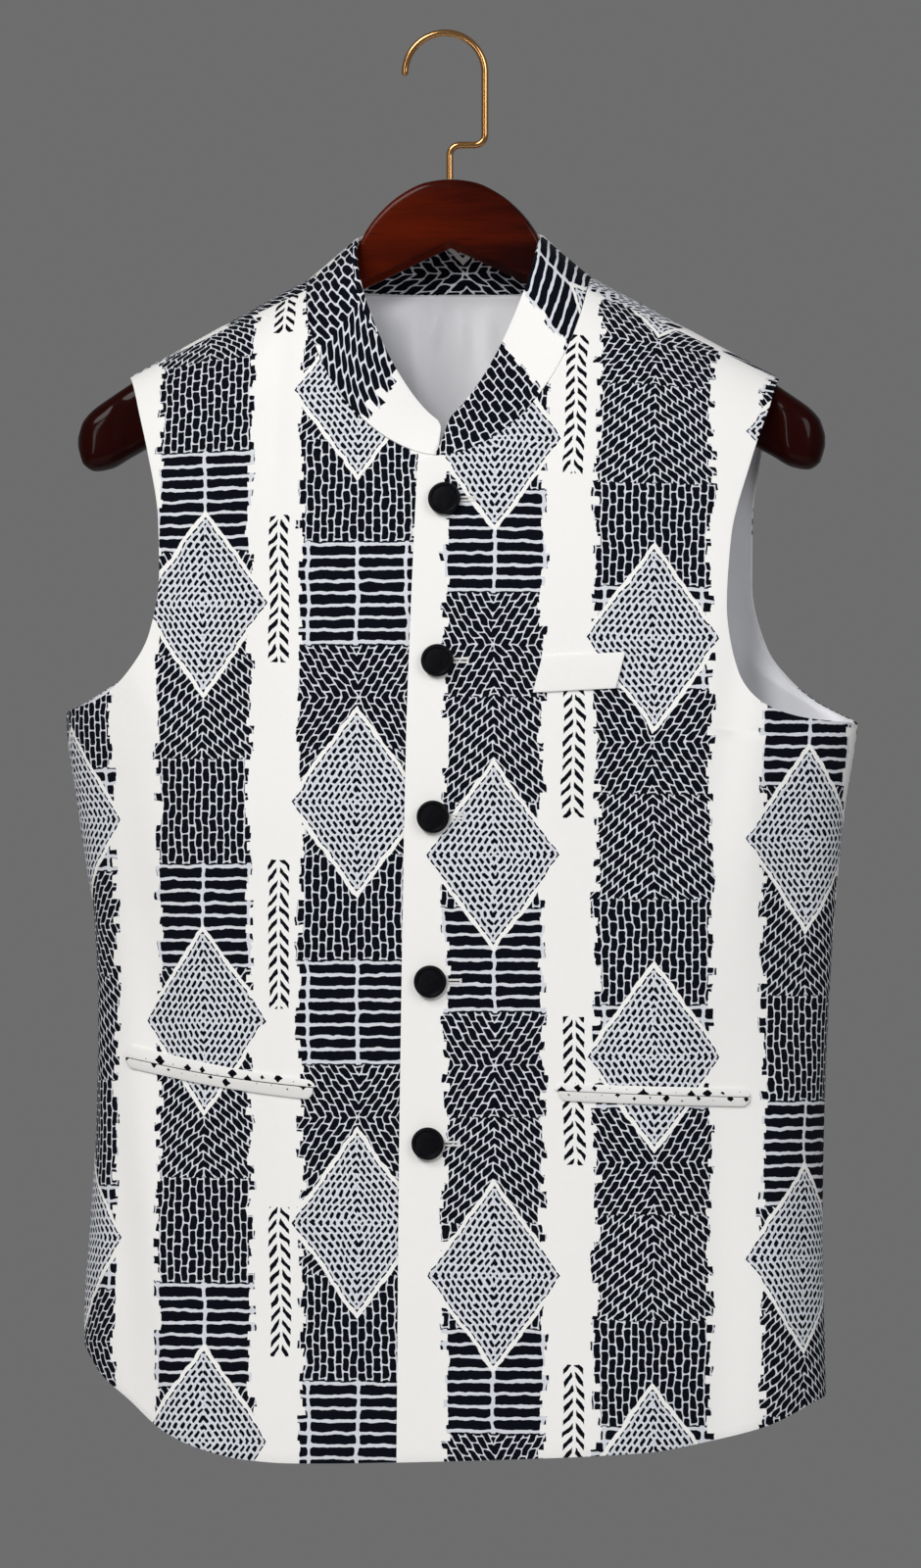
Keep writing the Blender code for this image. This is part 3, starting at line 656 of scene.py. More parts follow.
def back_patch():
    """Places of the back: s from the wearer's right to the left, f from the hem up."""
    def side_edge(side):
        foot, underarm = side_height(side)
        tip = shoulder_seam(1, side)

        def place(f):
            if f <= BACK_UNDERARM:
                z = blend(foot, underarm, f / BACK_UNDERARM)
                return locate(side * SIDES.read(side_name(side), z), z, True)
            share = BACK_ARMHOLE.read("share", (f - BACK_UNDERARM) / (1 - BACK_UNDERARM))
            return armhole_place(share, side, ARMHOLE_BACK, True, tip)
        return place

    corner = neck_angle(-SHOULDER_SEAM_NECK)
    round_neck = evenly(lambda share: neckline(180 - abs(blend(corner - 180, 180 - corner, share)),
                                               1 if share > 0.5 else -1))

    def top_edge(s):
        if s < SEAM_SHARE:
            return shoulder_seam(1 - s / SEAM_SHARE, -1)
        if s > 1 - SEAM_SHARE:
            return shoulder_seam((s + SEAM_SHARE - 1) / SEAM_SHARE, 1)
        return round_neck((s - SEAM_SHARE) / (1 - 2 * SEAM_SHARE))

    hem = evenly(lambda s: hem_place(blend(-SIDE, SIDE, s), True))
    flat = patch(hem, top_edge, side_edge(-1), side_edge(1), 2)
    return unfolded(cache(flat), *BACK_GRID, BACK_SPOTS)


def front_inset(side, place):
    """How far the under front steps in beneath the upper one."""
    if side > 0:
        return 0.0
    point = face_point(*place)
    reach = point.x - (front_edge(point.z, 1) - UNDER_BLEND)
    return -UNDER_INSET * ease(reach / (UNDER_BLEND - 3))


def collar_top(angle, side):
    """Point on the free edge of the collar above a place on the neckline."""
    turn = math.radians(angle)
    back = angle > 90
    power = 2 / (COLLAR_TOP_BACK_POWER if back else COLLAR_TOP_FRONT_POWER)
    fall = -COLLAR_TOP_BACK_RISE if back else COLLAR_TOP_FRONT_DROP
    x = side * COLLAR_TOP_HALF * abs(math.sin(turn)) ** power
    z = COLLAR_TOP - fall * abs(math.cos(turn)) ** power
    y = face_point(*neckline(angle, side)).y * COLLAR_LEAN
    return Vector((x, y, z))


def collar_point(angle, up):
    """Point on the collar's outer face; angle is 0 at the back, positive to the wearer's left.

    The upper end passes the middle of the front, and so its angle goes beyond 180.
    """
    side = 1 if 0 < angle <= 180 else -1
    front = abs(180 - abs(angle))
    base = face_point(*neckline(front, side))
    rise = collar_top(front, side) - base
    which = 1 if angle > 0 else 0
    past = min(1.0, max(0.0, 1 - (abs(COLLAR_ENDS[which]) - abs(angle)) / COLLAR_ROUND[which]))
    cut = COLLAR_ROUND_CUT[which] * past * past
    start = COLLAR_LIFT / rise.length
    point = base + rise * (start + up * (1 - start) * (1 - cut))
    if angle < 0:
        point.y += COLLAR_UNDER * ease((abs(angle) - COLLAR_UNDER_FROM) / COLLAR_UNDER_OVER)
    return point


def collar_turns():
    """Turns of the collar's columns, evenly spaced along the neckline."""
    turns = [blend(*COLLAR_ENDS, k / COLLAR_STEPS) for k in range(COLLAR_STEPS + 1)]
    pace = even_pace([collar_point(turn, COLLAR_PACE_HEIGHT) for turn in turns])

    def turn_at(share):
        k, step = pace(share)
        return blend(turns[k], turns[k + 1], step)
    return turn_at


# Running-stitch print, in millimetres on the cloth
PRINT_PITCH = 94.0            # from one upright band to the next
PRINT_BAND = 31.0             # half width of a band at its narrowest
PRINT_NARROW = 5.0            # how much less that is on every other band
PRINT_RAGGED = 6.0            # how much wider it may be in a single row
PRINT_ROW = 4.9               # height of such a row
PRINT_BLOCK = 62.0            # height of a block of one kind of stitching
PRINT_SHIFT = 119.0           # how much higher each band starts than the one before
STITCH_ROUND = 1.2            # rounding of a stitch's corners
MEDAL_HALF = 39.0
MEDAL_TALL = 53.0
MEDAL_PITCH = 248.0
MEDAL_START = 31.0
MEDAL_CLEAR = 3.0             # bare cloth between a lozenge and its band
MEDAL_STITCH = (7.6, 4.1, 1.8, 1.1)    # length, pitch, gap and rounding
EAR_FAR = 6.2                 # the ears stand this far out from between two bands
EAR_NEAR = 0.9                # and leave this much bare in the middle
EAR_PITCH = 7.4
EAR_SLANT = 1.1
EAR_SHARE = 0.46              # share of the pitch that is inked
EAR_RUN = 88.0                # length of a run of ears
EAR_REPEAT = 205.0
EAR_SHIFT = 90.0
STREWN_PITCH = 9.5
THREAD = 0.6                  # spacing of the plain weave's threads
TWILL = 0.8


class Value:
    """A value in a material's tree, reckoned with like a number; each step adds a node."""

    def __init__(self, recipe, socket):
        self.recipe = recipe
        self.socket = socket

    def do(self, operation, *others):
        return self.recipe.do(operation, self, *others)

    def other(self, name):
        """Another value that the same node gives."""
        return Value(self.recipe, self.socket.node.outputs[name])


for word, step in {
        "__add__": "ADD", "__sub__": "SUBTRACT", "__mul__": "MULTIPLY", "__truediv__": "DIVIDE",
        "__mod__": "FLOORED_MODULO", "__abs__": "ABSOLUTE", "__lt__": "LESS_THAN",
        "__gt__": "GREATER_THAN", "floor": "FLOOR", "fraction": "FRACT", "sine": "SINE",
        "sign": "SIGN", "at_least": "MAXIMUM"}.items():
    setattr(Value, word, partialmethod(Value.do, step))


class Recipe:
    """A material grown from plain node calls that pass their values on."""

    def __init__(self, name, roughness, **constants):
        self.material = bpy.data.materials.new(name)
        self.material.use_nodes = True
        self.tree = self.material.node_tree
        self.shader = self.tree.nodes["Principled BSDF"]
        self.finish(Roughness=roughness, **constants)

    def feed(self, value, socket):
        if isinstance(value, Value):
            self.tree.links.new(value.socket, socket)
        elif isinstance(value, (int, float)) or len(value) == len(socket.default_value):
            socket.default_value = value
        else:
            socket.default_value = (*value, 1.0)

    def finish(self, **values):
        """Feeds the shader's sockets by name, and gives back the material."""
        for name, value in values.items():
            self.feed(value, self.shader.inputs[name.replace("_", " ")])
        return self.material

    def node(self, kind, *values, fed=None, **settings):
        """A new node's first value; it is fed in the order of its sockets, or by their names."""
        made = self.tree.nodes.new("ShaderNode" + kind)
        for name, value in settings.items():
            setattr(made, name, value)
        open_sockets = [socket for socket in made.inputs if socket.enabled]
        for value, socket in zip(values, open_sockets):
            self.feed(value, socket)
        for name, value in (fed or {}).items():
            self.feed(value, next(socket for socket in open_sockets if socket.name == name))
        return Value(self, next(socket for socket in made.outputs if socket.enabled))

    def do(self, operation, *values):
        return self.node("Math", *values, operation=operation)

    def mix(self, share, first, second):
        return self.node("Mix", share, first, second, data_type="FLOAT")

    def tint(self, share, first, second):
        return self.node("Mix", data_type="RGBA", fed={"Factor": share, "A": first, "B": second})

    def between(self, value, low, high, start, end):
        """The value spread from start to end as it goes from low to high."""
        return self.node("MapRange", value, low, high, start, end)

    def noise(self, place, scale, detail=2.0, roughness=0.5):
        return self.node("TexNoise", fed={"Vector": place, "Scale": scale, "Detail": detail,
                                          "Roughness": roughness})

    def chance(self, *numbers):
        """A value from 0 to 1 that looks random and depends on three numbers only."""
        return self.node("TexWhiteNoise", self.node("CombineXYZ", *numbers), noise_dimensions="3D")

    def on_cloth(self):
        """The place on the cloth, and its two directions in millimetres."""
        place = self.node("TexCoord").other("UV")
        split = self.node("SeparateXYZ", place)
        return place, split.other("X") * 1000, split.other("Y") * 1000

    def on_piece(self, stretch=(1, 1, 1)):
        return self.node("Mapping", self.node("TexCoord").other("Object"), fed={"Scale": stretch})

    def relief(self, height, distance, strength):
        self.finish(Normal=self.node("Bump", fed={
            "Strength": strength, "Distance": distance, "Height": height}))

    def mottled(self, scale, detail, place, dark, light):
        """The material, clouded softly between two colours."""
        return self.finish(Base_Color=self.tint(self.noise(place, scale, detail), dark, light))


def toned(colour, share, more=0.0):
    return [part * share + more for part in colour]


def wobble(recipe, place, value, scale, reach):
    """A value swayed by up to about reach, like work done by hand."""
    return (recipe.noise(place, scale) - 0.5) * (reach * 2) + value


def plain_weave(u, v):
    """Height of a plain weave from its two threads."""
    return (u * (math.pi / THREAD)).sine() * (v * (math.pi / THREAD)).sine()


def stitch_rows(along, across, length, pitch, gap, rounding, step=0.5):
    """Rows of short stitches, each row a step along from the last; 1 inside a stitch."""
    row = across / pitch
    place = (along + row.floor() * step * length) / length
    to_end = abs(place.fraction() - 0.5) * length
    to_side = abs(row.fraction() - 0.5) * pitch
    inset = gap * 0.5 + rounding
    past_end = (to_end - (length * 0.5 - inset)).at_least(0.0)
    past_side = (to_side - (pitch * 0.5 - inset)).at_least(0.0)
    return past_end * past_end + past_side * past_side < rounding * rounding


def printed_ground(name):
    """The recipe that the printed cloths start from."""
    return Recipe(name, 0.9, Specular_IOR_Level=0.08, Sheen_Weight=0.02, Sheen_Roughness=0.5)


def stitched_print(name, ivory, ink, ground):
    """Ivory cloth printed with upright bands of running stitches and tall lozenges."""
    recipe = printed_ground(name)
    place, plain_u, plain_v = recipe.on_cloth()
    u = wobble(recipe, place, wobble(recipe, place, plain_u, 22, 3.0), 130, 1.5)
    v = wobble(recipe, place, plain_v, 120, 1.6)

    band = (u * (1 / PRINT_PITCH) + 0.5).floor()
    x = band * -PRINT_PITCH + u
    reach = abs(x)
    shifted = band * PRINT_SHIFT + v
    block = (shifted / PRINT_BLOCK).floor()
    y = shifted - (block * PRINT_BLOCK + PRINT_BLOCK / 2)
    kind = (band * 3.0 + block) % 4.0

    # each kind of block says which way its rows run, how long and wide its stitches are,
    # how far each row is moved on from the last, and the gap between two stitches
    kinds = (
        (y, x, 8.6, 4.4, 0.5, 0.7),
        (reach, reach * 0.8 + y, 6.8, 5.0, 0.5, 0.8),
        (y, abs(y) * -0.55 + reach, 7.4, 4.6, 0.5, 0.7),
        (reach, y, 29.0, 7.3, 0.0, 1.9),
    )
    chosen = kinds[0]
    for number, values in enumerate(kinds[1:], start=1):
        here = recipe.do("COMPARE", kind, float(number), 0.1)
        chosen = [recipe.mix(here, *pair) for pair in zip(chosen, values)]
    along, across, length, pitch, row_step, gap = chosen

    ragged = recipe.chance((v / PRINT_ROW).floor(), band, x.sign())
    in_band = reach < band % 2.0 * -PRINT_NARROW + (ragged * PRINT_RAGGED + PRINT_BAND)
    tall = abs((shifted + MEDAL_START) % MEDAL_PITCH - MEDAL_PITCH / 2)
    lozenge = tall * (MEDAL_HALF / MEDAL_TALL) + reach
    in_medal = lozenge < MEDAL_HALF
    in_band = in_band * recipe.do("SUBTRACT", 1.0, lozenge < MEDAL_HALF + MEDAL_CLEAR)
    band_stitch = stitch_rows(along, across, length, pitch, gap, STITCH_ROUND, row_step) * in_band
    medal_stitch = stitch_rows(tall - reach, lozenge, *MEDAL_STITCH) * in_medal

    ear = abs(reach - PRINT_PITCH / 2)
    column = (u / PRINT_PITCH).floor()
    ear_row = ((ear * EAR_SLANT + v) / EAR_PITCH).fraction() < EAR_SHARE
    ear_run = (column * EAR_SHIFT + v) % EAR_REPEAT < EAR_RUN
    ear_stitch = ear_row * ((ear < EAR_FAR) * (ear > EAR_NEAR)) * (ear_run * (column % 2.0))

    inked = band_stitch.at_least(medal_stitch).at_least(ear_stitch)
    clouded = recipe.tint(recipe.noise(place, 9.0, 3.0), toned(ivory, 0.965), ivory)
    cloth_colour = recipe.tint(in_band.at_least(in_medal) * 0.9, clouded, ground)
    ink_colour = recipe.tint(recipe.noise(place, 620.0), ink, toned(ink, 2.6, 0.001))
    recipe.relief(plain_weave(plain_u, plain_v) * 0.16 + inked, 0.00022, 0.8)
    return recipe.finish(Base_Color=recipe.tint(inked, cloth_colour, ink_colour))


def strewn_cloth(name, ivory, ink):
    """Ivory cloth with small diamonds strewn along a strip of it."""
    recipe = printed_ground(name)
    place, plain_u, plain_v = recipe.on_cloth()
    u = wobble(recipe, place, plain_u, 260, 0.9)
    v = wobble(recipe, place, plain_v, 240, 1.6)
    step = v / STREWN_PITCH
    number = step.floor()
    size, aside = (recipe.chance(number, seed, 0.0) for seed in (3.0, 8.0))
    along = abs(step.fraction() - 0.5) * STREWN_PITCH
    across = abs(u - aside * 3.0)
    inked = across * 1.1 + along < recipe.between(size, 0.25, 1.0, 0.4, 3.6)
    recipe.relief(plain_weave(plain_u, plain_v), 0.00004, 0.8)
    clouded = recipe.tint(recipe.noise(place, 11.0, 3.0), toned(ivory, 0.93), toned(ivory, 0.97))
    return recipe.finish(Base_Color=recipe.tint(inked, clouded, ink))


def plain_cloth(name, ivory):
    recipe = Recipe(name, 0.85, Specular_IOR_Level=0.2, Sheen_Weight=0.05, Sheen_Roughness=0.5)
    place, u, v = recipe.on_cloth()
    recipe.relief(recipe.noise(place, 900.0) * 0.5 + plain_weave(u, v), 0.00006, 0.7)
    return recipe.mottled(11.0, 3.0, place, toned(ivory, 0.96), ivory)


def satin_lining(name, white):
    recipe = Recipe(name, 0.5, Specular_IOR_Level=0.4, Sheen_Weight=0.1, Sheen_Roughness=0.4)
    place, u, v = recipe.on_cloth()
    twill = ((u + v) * (2 * math.pi / TWILL)).sine()
    recipe.relief(recipe.noise(place, 60.0) * 3.0 + twill, 0.00005, 0.6)
    return recipe.mottled(14.0, 3.0, place, toned(white, 0.94), white)


def polished_wood(name, dark, warm):
    """Wood with a dark stain, long grain and a thick gloss coat; its colour has painted light on
    the head towards the wearer's right and painted shade towards the arms' ends.
    """
    recipe = Recipe(name, 0.4, Coat_Weight=0.3, Coat_Roughness=0.09, Coat_IOR=1.4,
                    Specular_IOR_Level=0.02)
    sway = recipe.noise(recipe.on_piece((3.0, 9.0, 14.0)), 1.0, 3.0)
    grain = recipe.noise(recipe.on_piece((5.0, 60.0, 46.0)), 1.6, 6.0, 0.62)
    across = recipe.node("SeparateXYZ", recipe.on_piece())
    # painted light: the head's colour is made lighter towards the wearer's right, the side the key
    # light comes from
    head = recipe.between(across, -0.05, 0.06, 0.1, -0.1)
    # painted shade: the arms' colour darkens towards their ends
    arms = recipe.between(abs(across), 0.07, 0.14, 0.0, -0.4)
    grain_and_painted_light = head + arms + (sway * 0.75 + grain * 0.55)
    fine = recipe.noise(recipe.on_piece((28.0, 700.0, 620.0)), 1.0, 3.0, 0.6)
    pore = recipe.between(fine, 0.56, 0.74, 0.0, 1.0)
    stain_and_painted_light = recipe.tint(recipe.between(grain_and_painted_light, 0.5, 0.8, 0.0, 1.0), dark, warm)
    recipe.relief(recipe.noise(recipe.on_piece(), 55.0), 0.00006, 0.3)
    return recipe.finish(Base_Color=recipe.tint(pore * 0.55, stain_and_painted_light, toned(dark, 0.35)))


def brass_wire(name, brass):
    recipe = Recipe(name, 0.16, Metallic=1.0)
    cloudy = recipe.noise(recipe.on_piece(), 60.0)
    return recipe.finish(Roughness=recipe.between(cloudy, 0.3, 0.7, 0.13, 0.2),
                         Base_Color=recipe.tint(cloudy, toned(brass, 0.9), brass))


def satin_black(name, black):
    """Buttons' moulded black, with a soft sheen, faint rubbing and finest dust."""
    recipe = Recipe(name, 0.4, Specular_IOR_Level=0.1, Coat_Weight=0.05, Coat_Roughness=0.15)
    rubbed = recipe.noise(recipe.on_piece(), 420.0, 4.0, 0.6)
    recipe.relief(recipe.noise(recipe.on_piece(), 1600.0), 0.00002, 0.35)
    worn = recipe.between(rubbed, 0.45, 0.8, 0.0, 1.0)
    return recipe.finish(Roughness=recipe.between(rubbed, 0.3, 0.75, 0.34, 0.5),
                         Base_Color=recipe.tint(worn, black, toned(black, 2.0, 0.0012)))


def twisted_thread(name, shade):
    recipe = Recipe(name, 0.6, Specular_IOR_Level=0.35, Sheen_Weight=0.2, Sheen_Roughness=0.4)
    ply = recipe.noise(recipe.on_piece((2600.0, 2600.0, 700.0)), 1.0)
    recipe.relief(ply, 0.00005, 0.6)
    return recipe.finish(Base_Color=recipe.tint(ply, toned(shade, 0.85), shade))


def studio_paper(name, shade):
    recipe = Recipe(name, 0.9, Specular_IOR_Level=0.2)
    return recipe.mottled(1.3, 4.0, recipe.on_piece(), toned(shade, 0.985), shade)


# Meshes

RIM_ANGLE = 55                # edges sharper than this are rounded, in degrees


def new_piece(name, node, slot, bm, *materials, smooth_angle=40):
    """A finished piece that rides on the body, and stands for a node where one is given."""
    mesh = bpy.data.meshes.new(name)
    bm.to_mesh(mesh)
    bm.free()
    mesh.shade_smooth()
    mesh.set_sharp_from_angle(angle=math.radians(smooth_angle))
    for made in materials:
        mesh.materials.append(made)
    piece = bpy.data.objects.new(name, mesh)
    bpy.context.scene.collection.objects.link(piece)
    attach(piece, BODY)
    if node:
        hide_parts(node)
    return piece


def metres(point):
    return Vector((point.x + OFFSET, point.y, point.z)) * MM


def open_sheet(columns, rows, point, spread):
    """A grid of faces on a cloth's outer face.

    point gives a grid corner's place in millimetres, from shares across and up. spread
    gives the corners' places on the cloth, from all their places in metres.
    """
    bm = bmesh.new()
    bmesh.ops.create_grid(bm, x_segments=columns, y_segments=rows, size=1)
    corners = {vert: (round((vert.co.x + 1) / 2 * columns), round((vert.co.y + 1) / 2 * rows))
               for vert in bm.verts}
    for vert, (i, j) in corners.items():
        vert.co = metres(point(i / columns, j / rows))
    laid = spread({spot: vert.co.copy() for vert, spot in corners.items()})
    cloth_map = bm.loops.layers.uv.new("cloth")
    for face in bm.faces:
        for loop in face.loops:
            loop[cloth_map].uv = laid[corners[loop.vert]]
    return bm


def face_out(bm, behind):
    """Turns the faces so that they look away from a point behind the sheet."""
    bm.normal_update()
    facing = sum(face.normal.dot(face.calc_center_median() - metres(behind)) for face in bm.faces)
    if facing < 0:
        bmesh.ops.reverse_faces(bm, faces=bm.faces)


def give_wall(piece, wall, rounding, inner_material):
    """Thickens an open sheet inwards and rounds its edges."""
    solid = piece.modifiers.new("wall", "SOLIDIFY")
    solid.thickness = wall * MM
    solid.offset = -1.0
    solid.use_even_offset = False
    solid.material_offset = inner_material
    rim = piece.modifiers.new("edge", "BEVEL")
    rim.width = rounding * MM
    rim.segments = 2
    rim.limit_method = "ANGLE"
    rim.angle_limit = math.radians(RIM_ANGLE)


def cloth_piece(name, node, slot, grid, point, spread, wall, *finishes, behind):
    """A piece of cloth; the last of two finishes is that of its inner side."""
    bm = open_sheet(*grid, point, spread)
    face_out(bm, behind)
    piece = new_piece(name, node, slot, bm, *finishes)
    give_wall(piece, *wall, len(finishes) - 1)
    return piece


def lengths_across(heights, start, shift=(0.0, 0.0)):
    """Way of spreading a sheet: true lengths across its rows, and given heights up it.

    heights is read from shares across and up; start is the column that the rows are
    measured from, as a share.
    """
    def spread(points):
        columns, rows = max(points)
        laid = {}
        middle = round(start * columns)
        for j in range(rows + 1):
            first = points[middle, j]
            across = first.x - OFFSET * MM
            way = 1 if points[columns, j].x > points[0, j].x else -1
            for order in (range(middle, columns + 1), range(middle, -1, -1)):
                length, before = across, first
                for i in order:
                    point = points[i, j]
                    step = math.hypot(point.x - before.x, point.y - before.y)
                    length += step * way if i > middle else -step * way
                    before = point
                    height = heights(i / columns, j / rows)
                    laid[i, j] = (length + shift[0] * MM, (height + shift[1]) * MM)
        return laid
    return spread


def hanging_height(places):
    """Height along the cloth, as if it were let down from the shoulder's ridge."""
    def height(s, f):
        place = places(s, f)
        return ridge(face_point(*place).x) - abs(place.y)
    return height


# Pieces

CLOTH_WALL = (1.6, 0.55)      # walls: thickness and rounding of the edges
LINING_WALL = (0.8, 0.25)
COLLAR_WALL = (2.0, 0.8)
STRIP_ROUND = 0.35            # rounding of the edges of the small strips
WELT_LAID = (1.5, 1.65)       # the strips' walls, and how far out their outer faces lie
LIP_LAID = (1.1, 1.25)
MOUTH_LAID = (0.4, 0.7)
WELT_SWELL = 0.35             # how much the strips swell between their edges
LIP_SWELL = 0.3
LINING_GRID = (150, 170)
COLLAR_GRID = (240, 12)
BACK_SHIFT = (47.0, 20.0)     # where the panels lie on the print
FRONT_SHIFTS = {"left": (61.0, 0.0), "right": (48.0, 88.0)}
LINING_TOP = 30.0             # the lining ends this far behind the shoulder's ridge
LINING_HEM = 0.04             # where it starts up the back, as a share of its rows
LINING_FREE = 0.9             # where it leaves the back's own rows
LINING_UNDER = 3.2            # how far it lies beneath the back's outer face
LINING_SLACK = 2.4            # and how much farther where it hangs free
HEAD_ROUNDNESS = 6.0          # the hanger's head is a slab with rounded edges
HEAD_SLANT = 5.0              # and its underside slants up to both faces by this much
HEAD_SLOPE = 1.1
ARM_ROUNDNESS = 3.0           # its arms are rounder
WOOD_SECTIONS = 150
WOOD_SIDES = 64
INSIDE = Vector((0, 0, -450))   # a point within the jacket, in millimetres
NECK_MIDDLE = Vector((0, -14, -180))
POCKET_LIPS = Table("row outer outer_height inner inner_height outer_width inner_width", [
    (0, -189.0, -603.8, -73.0, -620.8, 8.0, 4.0),
    (1, -189.0, -604.2, -74.0, -621.2, -5.5, -7.0),
    (2, 181.0, -626.3, 69.0, -622.3, 5.2, 4.4),
    (3, 181.0, -626.7, 71.0, -622.7, -5.4, -5.6),
])
POCKET_NAMES = ("pocket_right_upper", "pocket_right_lower",
                "pocket_left_upper", "pocket_left_lower")
LIP_BOW = (2.0, 2.0, 0.4, 0.4)   # how far each lip sags between its ends
LIP_ROUND = 0.035             # share of a lip's length over which its ends round off
LIP_TAPER = 0.6               # how much narrower its very ends are
LIP_STEP = 137.0              # how far apart the lips are cut from their cloth
MOUTH_OVER = 0.5              # the slit reaches this far under both lips
COLLAR_CUT = Table("run place", [    # where the collar lies on the print, from its upper end
    (0.0, 30.0),
    (0.5, -188.0),
    (1.0, -336.0),
])
COLLAR_BASE = 0.008           # its lower edge's place on the print, in metres
WELT = {"left": 56.0, "left_height": -389.0, "right": 104.5, "right_height": -386.5,
        "skew": 5.5, "height": 21.5}
BUTTON_LIFT = 0.35
BUTTON_PROFILE = (            # radius and height above the cloth, from the shank to the middle
    (0.02, 0.1),
    (2.3, 0.1),
    (2.5, 0.5),
    (2.5, 1.3),
    (3.0, 1.55),
    (7.6, 1.6),
    (8.7, 1.9),
    (9.4, 2.5),
    (9.65, 3.2),
    (9.5, 4.0),
    (9.05, 4.65),
    (8.5, 4.95),
    (8.0, 4.9),
    (7.6, 4.6),
    (7.35, 4.15),
    (7.1, 3.95),
    (6.8, 3.98),
    (5.6, 4.12),
    (3.4, 4.28),
    (0.02, 4.36),
)
STITCH_RADIUS = 0.36
STITCH_LIFT = 0.15
BAR_LIFT = 0.2
HOLE_STITCHES = 30            # steps from stitch to stitch along a buttonhole's sides
HOLE_RUN = (-3.0, 17.0)       # from where to where they run, across from the button
HOLE_REACH = (0.22, 1.75)     # from where to where each stitch goes, up or down
BAR_STITCHES = 4              # the same for the bar at its outer end
BAR_RUN = (16.9, 18.6)
BAR_HALF = 1.5


def make_front(name, node, side, shift, *finishes):
    places = cache(front_patch(side))

    def point(s, f):
        place = places(s, f)
        return cloth(place, front_inset(side, place))
    return cloth_piece(name, node, "printed_cloth", FRONT_GRID, point, lengths_across(
        hanging_height(places), 0, shift), CLOTH_WALL, *finishes, behind=INSIDE)


def make_back(*finishes):
    places = cache(back_patch())
    return cloth_piece("jacket_back", "back", "printed_cloth", BACK_GRID,
                       lambda s, f: cloth(places(s, f), 0.0),
                       lengths_across(hanging_height(places), 0.5, BACK_SHIFT),
                       CLOTH_WALL, *finishes, behind=INSIDE)


def make_lining(finish):
    """Lining of the back, a little loose, with folds of its own."""
    outer = back_patch()

    @cache
    def top(s):
        """Share up the back at which the lining stops, just behind the shoulder's ridge."""
        if outer(s, 1.0).y >= LINING_TOP:
            return 1.0
        return halved(LINING_FREE, 1.0, 20, lambda f: outer(s, f).y > LINING_TOP)[1]

    @cache
    def places(s, f):
        f = blend(LINING_HEM, 1.0, f)
        if f > LINING_FREE:
            f = blend(LINING_FREE, top(s), (f - LINING_FREE) / (1 - LINING_FREE))
        return outer(s, f)

    def point(s, f):
        place = places(s, f)
        seen = face_point(*place)
        edge = ease(s * 14) * ease((1 - s) * 14) * ease((1 - f) * 12) * ease(f * 9)
        slack = edge * (LINING_SLACK - fold_lift(LINING_FOLDS, seen.x, seen.z))
        return cloth(place, -LINING_UNDER - max(0.0, slack))
    return cloth_piece("jacket_lining", "lining_back", "lining", LINING_GRID, point, lengths_across(
        hanging_height(places), 0.5), LINING_WALL, finish, behind=INSIDE)


def make_collar(finish):
    """Band collar: one strip round the neck whose ends cross in front."""
    turn = cache(collar_turns())

    def spread(points):
        columns, rows = max(points)
        run = [0.0]
        for i in range(columns):
            run.append(run[-1] + (points[i + 1, rows // 2] - points[i, rows // 2]).length)
        return {(i, j): (COLLAR_CUT.read("place", 1 - run[i] / run[-1]) * MM,
                         (point - points[i, 0]).length + COLLAR_BASE)
                for (i, j), point in points.items()}
    return cloth_piece("jacket_collar", "collar", "printed_cloth", COLLAR_GRID,
                       lambda s, f: collar_point(turn(s), f), spread,
                       COLLAR_WALL, finish, behind=NECK_MIDDLE)


def lying_strip(name, node, grid, spot, laid, finish, swell=0.0, cut=0.0):
    """A small piece that lies on a front; spot gives its front view, cut its place on the cloth."""
    wall, lift = laid

    def point(s, f):
        x, z = spot(s, f)
        rounding = swell * math.sin(math.pi * f) ** 0.5 if swell and 0 < f < 1 else 0.0
        return cloth(locate(x, z), lift + rounding)

    def spread(points):
        return {(i, j): ((point - points[i, 0]).length,
                         cut * MM + (points[i, 0] - points[0, 0]).length)
                for (i, j), point in points.items()}
    return cloth_piece(name, node, "printed_cloth", grid, point, spread,
                       (wall, STRIP_ROUND), finish, behind=INSIDE)


def lip_spot(row):
    outer, outer_height, inner, inner_height, outer_width, inner_width = (
        POCKET_LIPS.read(column, row) for column in POCKET_LIPS.columns if column != "row")

    def spot(s, f):
        x = blend(outer, inner, s)
        z = blend(outer_height, inner_height, s) - LIP_BOW[row] * math.sin(math.pi * s)
        to_end = min(1.0, min(s, 1 - s) / LIP_ROUND)
        width = blend(outer_width, inner_width, s) * (1 - LIP_TAPER * (1 - to_end) ** 2)
        return x, z + f * width
    return spot


def mouth_spot(row):
    """The slit between the upper lip in this row of the table and the lower one after it."""
    upper, lower = lip_spot(row), lip_spot(row + 1)

    def spot(s, f):
        (low_x, low_z), (high_x, high_z) = lower(s, 0), upper(s, 0)
        return blend(low_x, high_x, f), blend(low_z - MOUTH_OVER, high_z + MOUTH_OVER, f)
    return spot


def welt_spot(s, f):
    z = blend(WELT["left_height"], WELT["right_height"], s)
    x = blend(WELT["left"], WELT["right"], s)
    return x + WELT["skew"] * f, z + WELT["height"] * f


def closing_place(height):
    """Place on the front's middle line, where a button and its buttonhole are."""
    return locate(CENTRE_LINE.read("across", height), height)


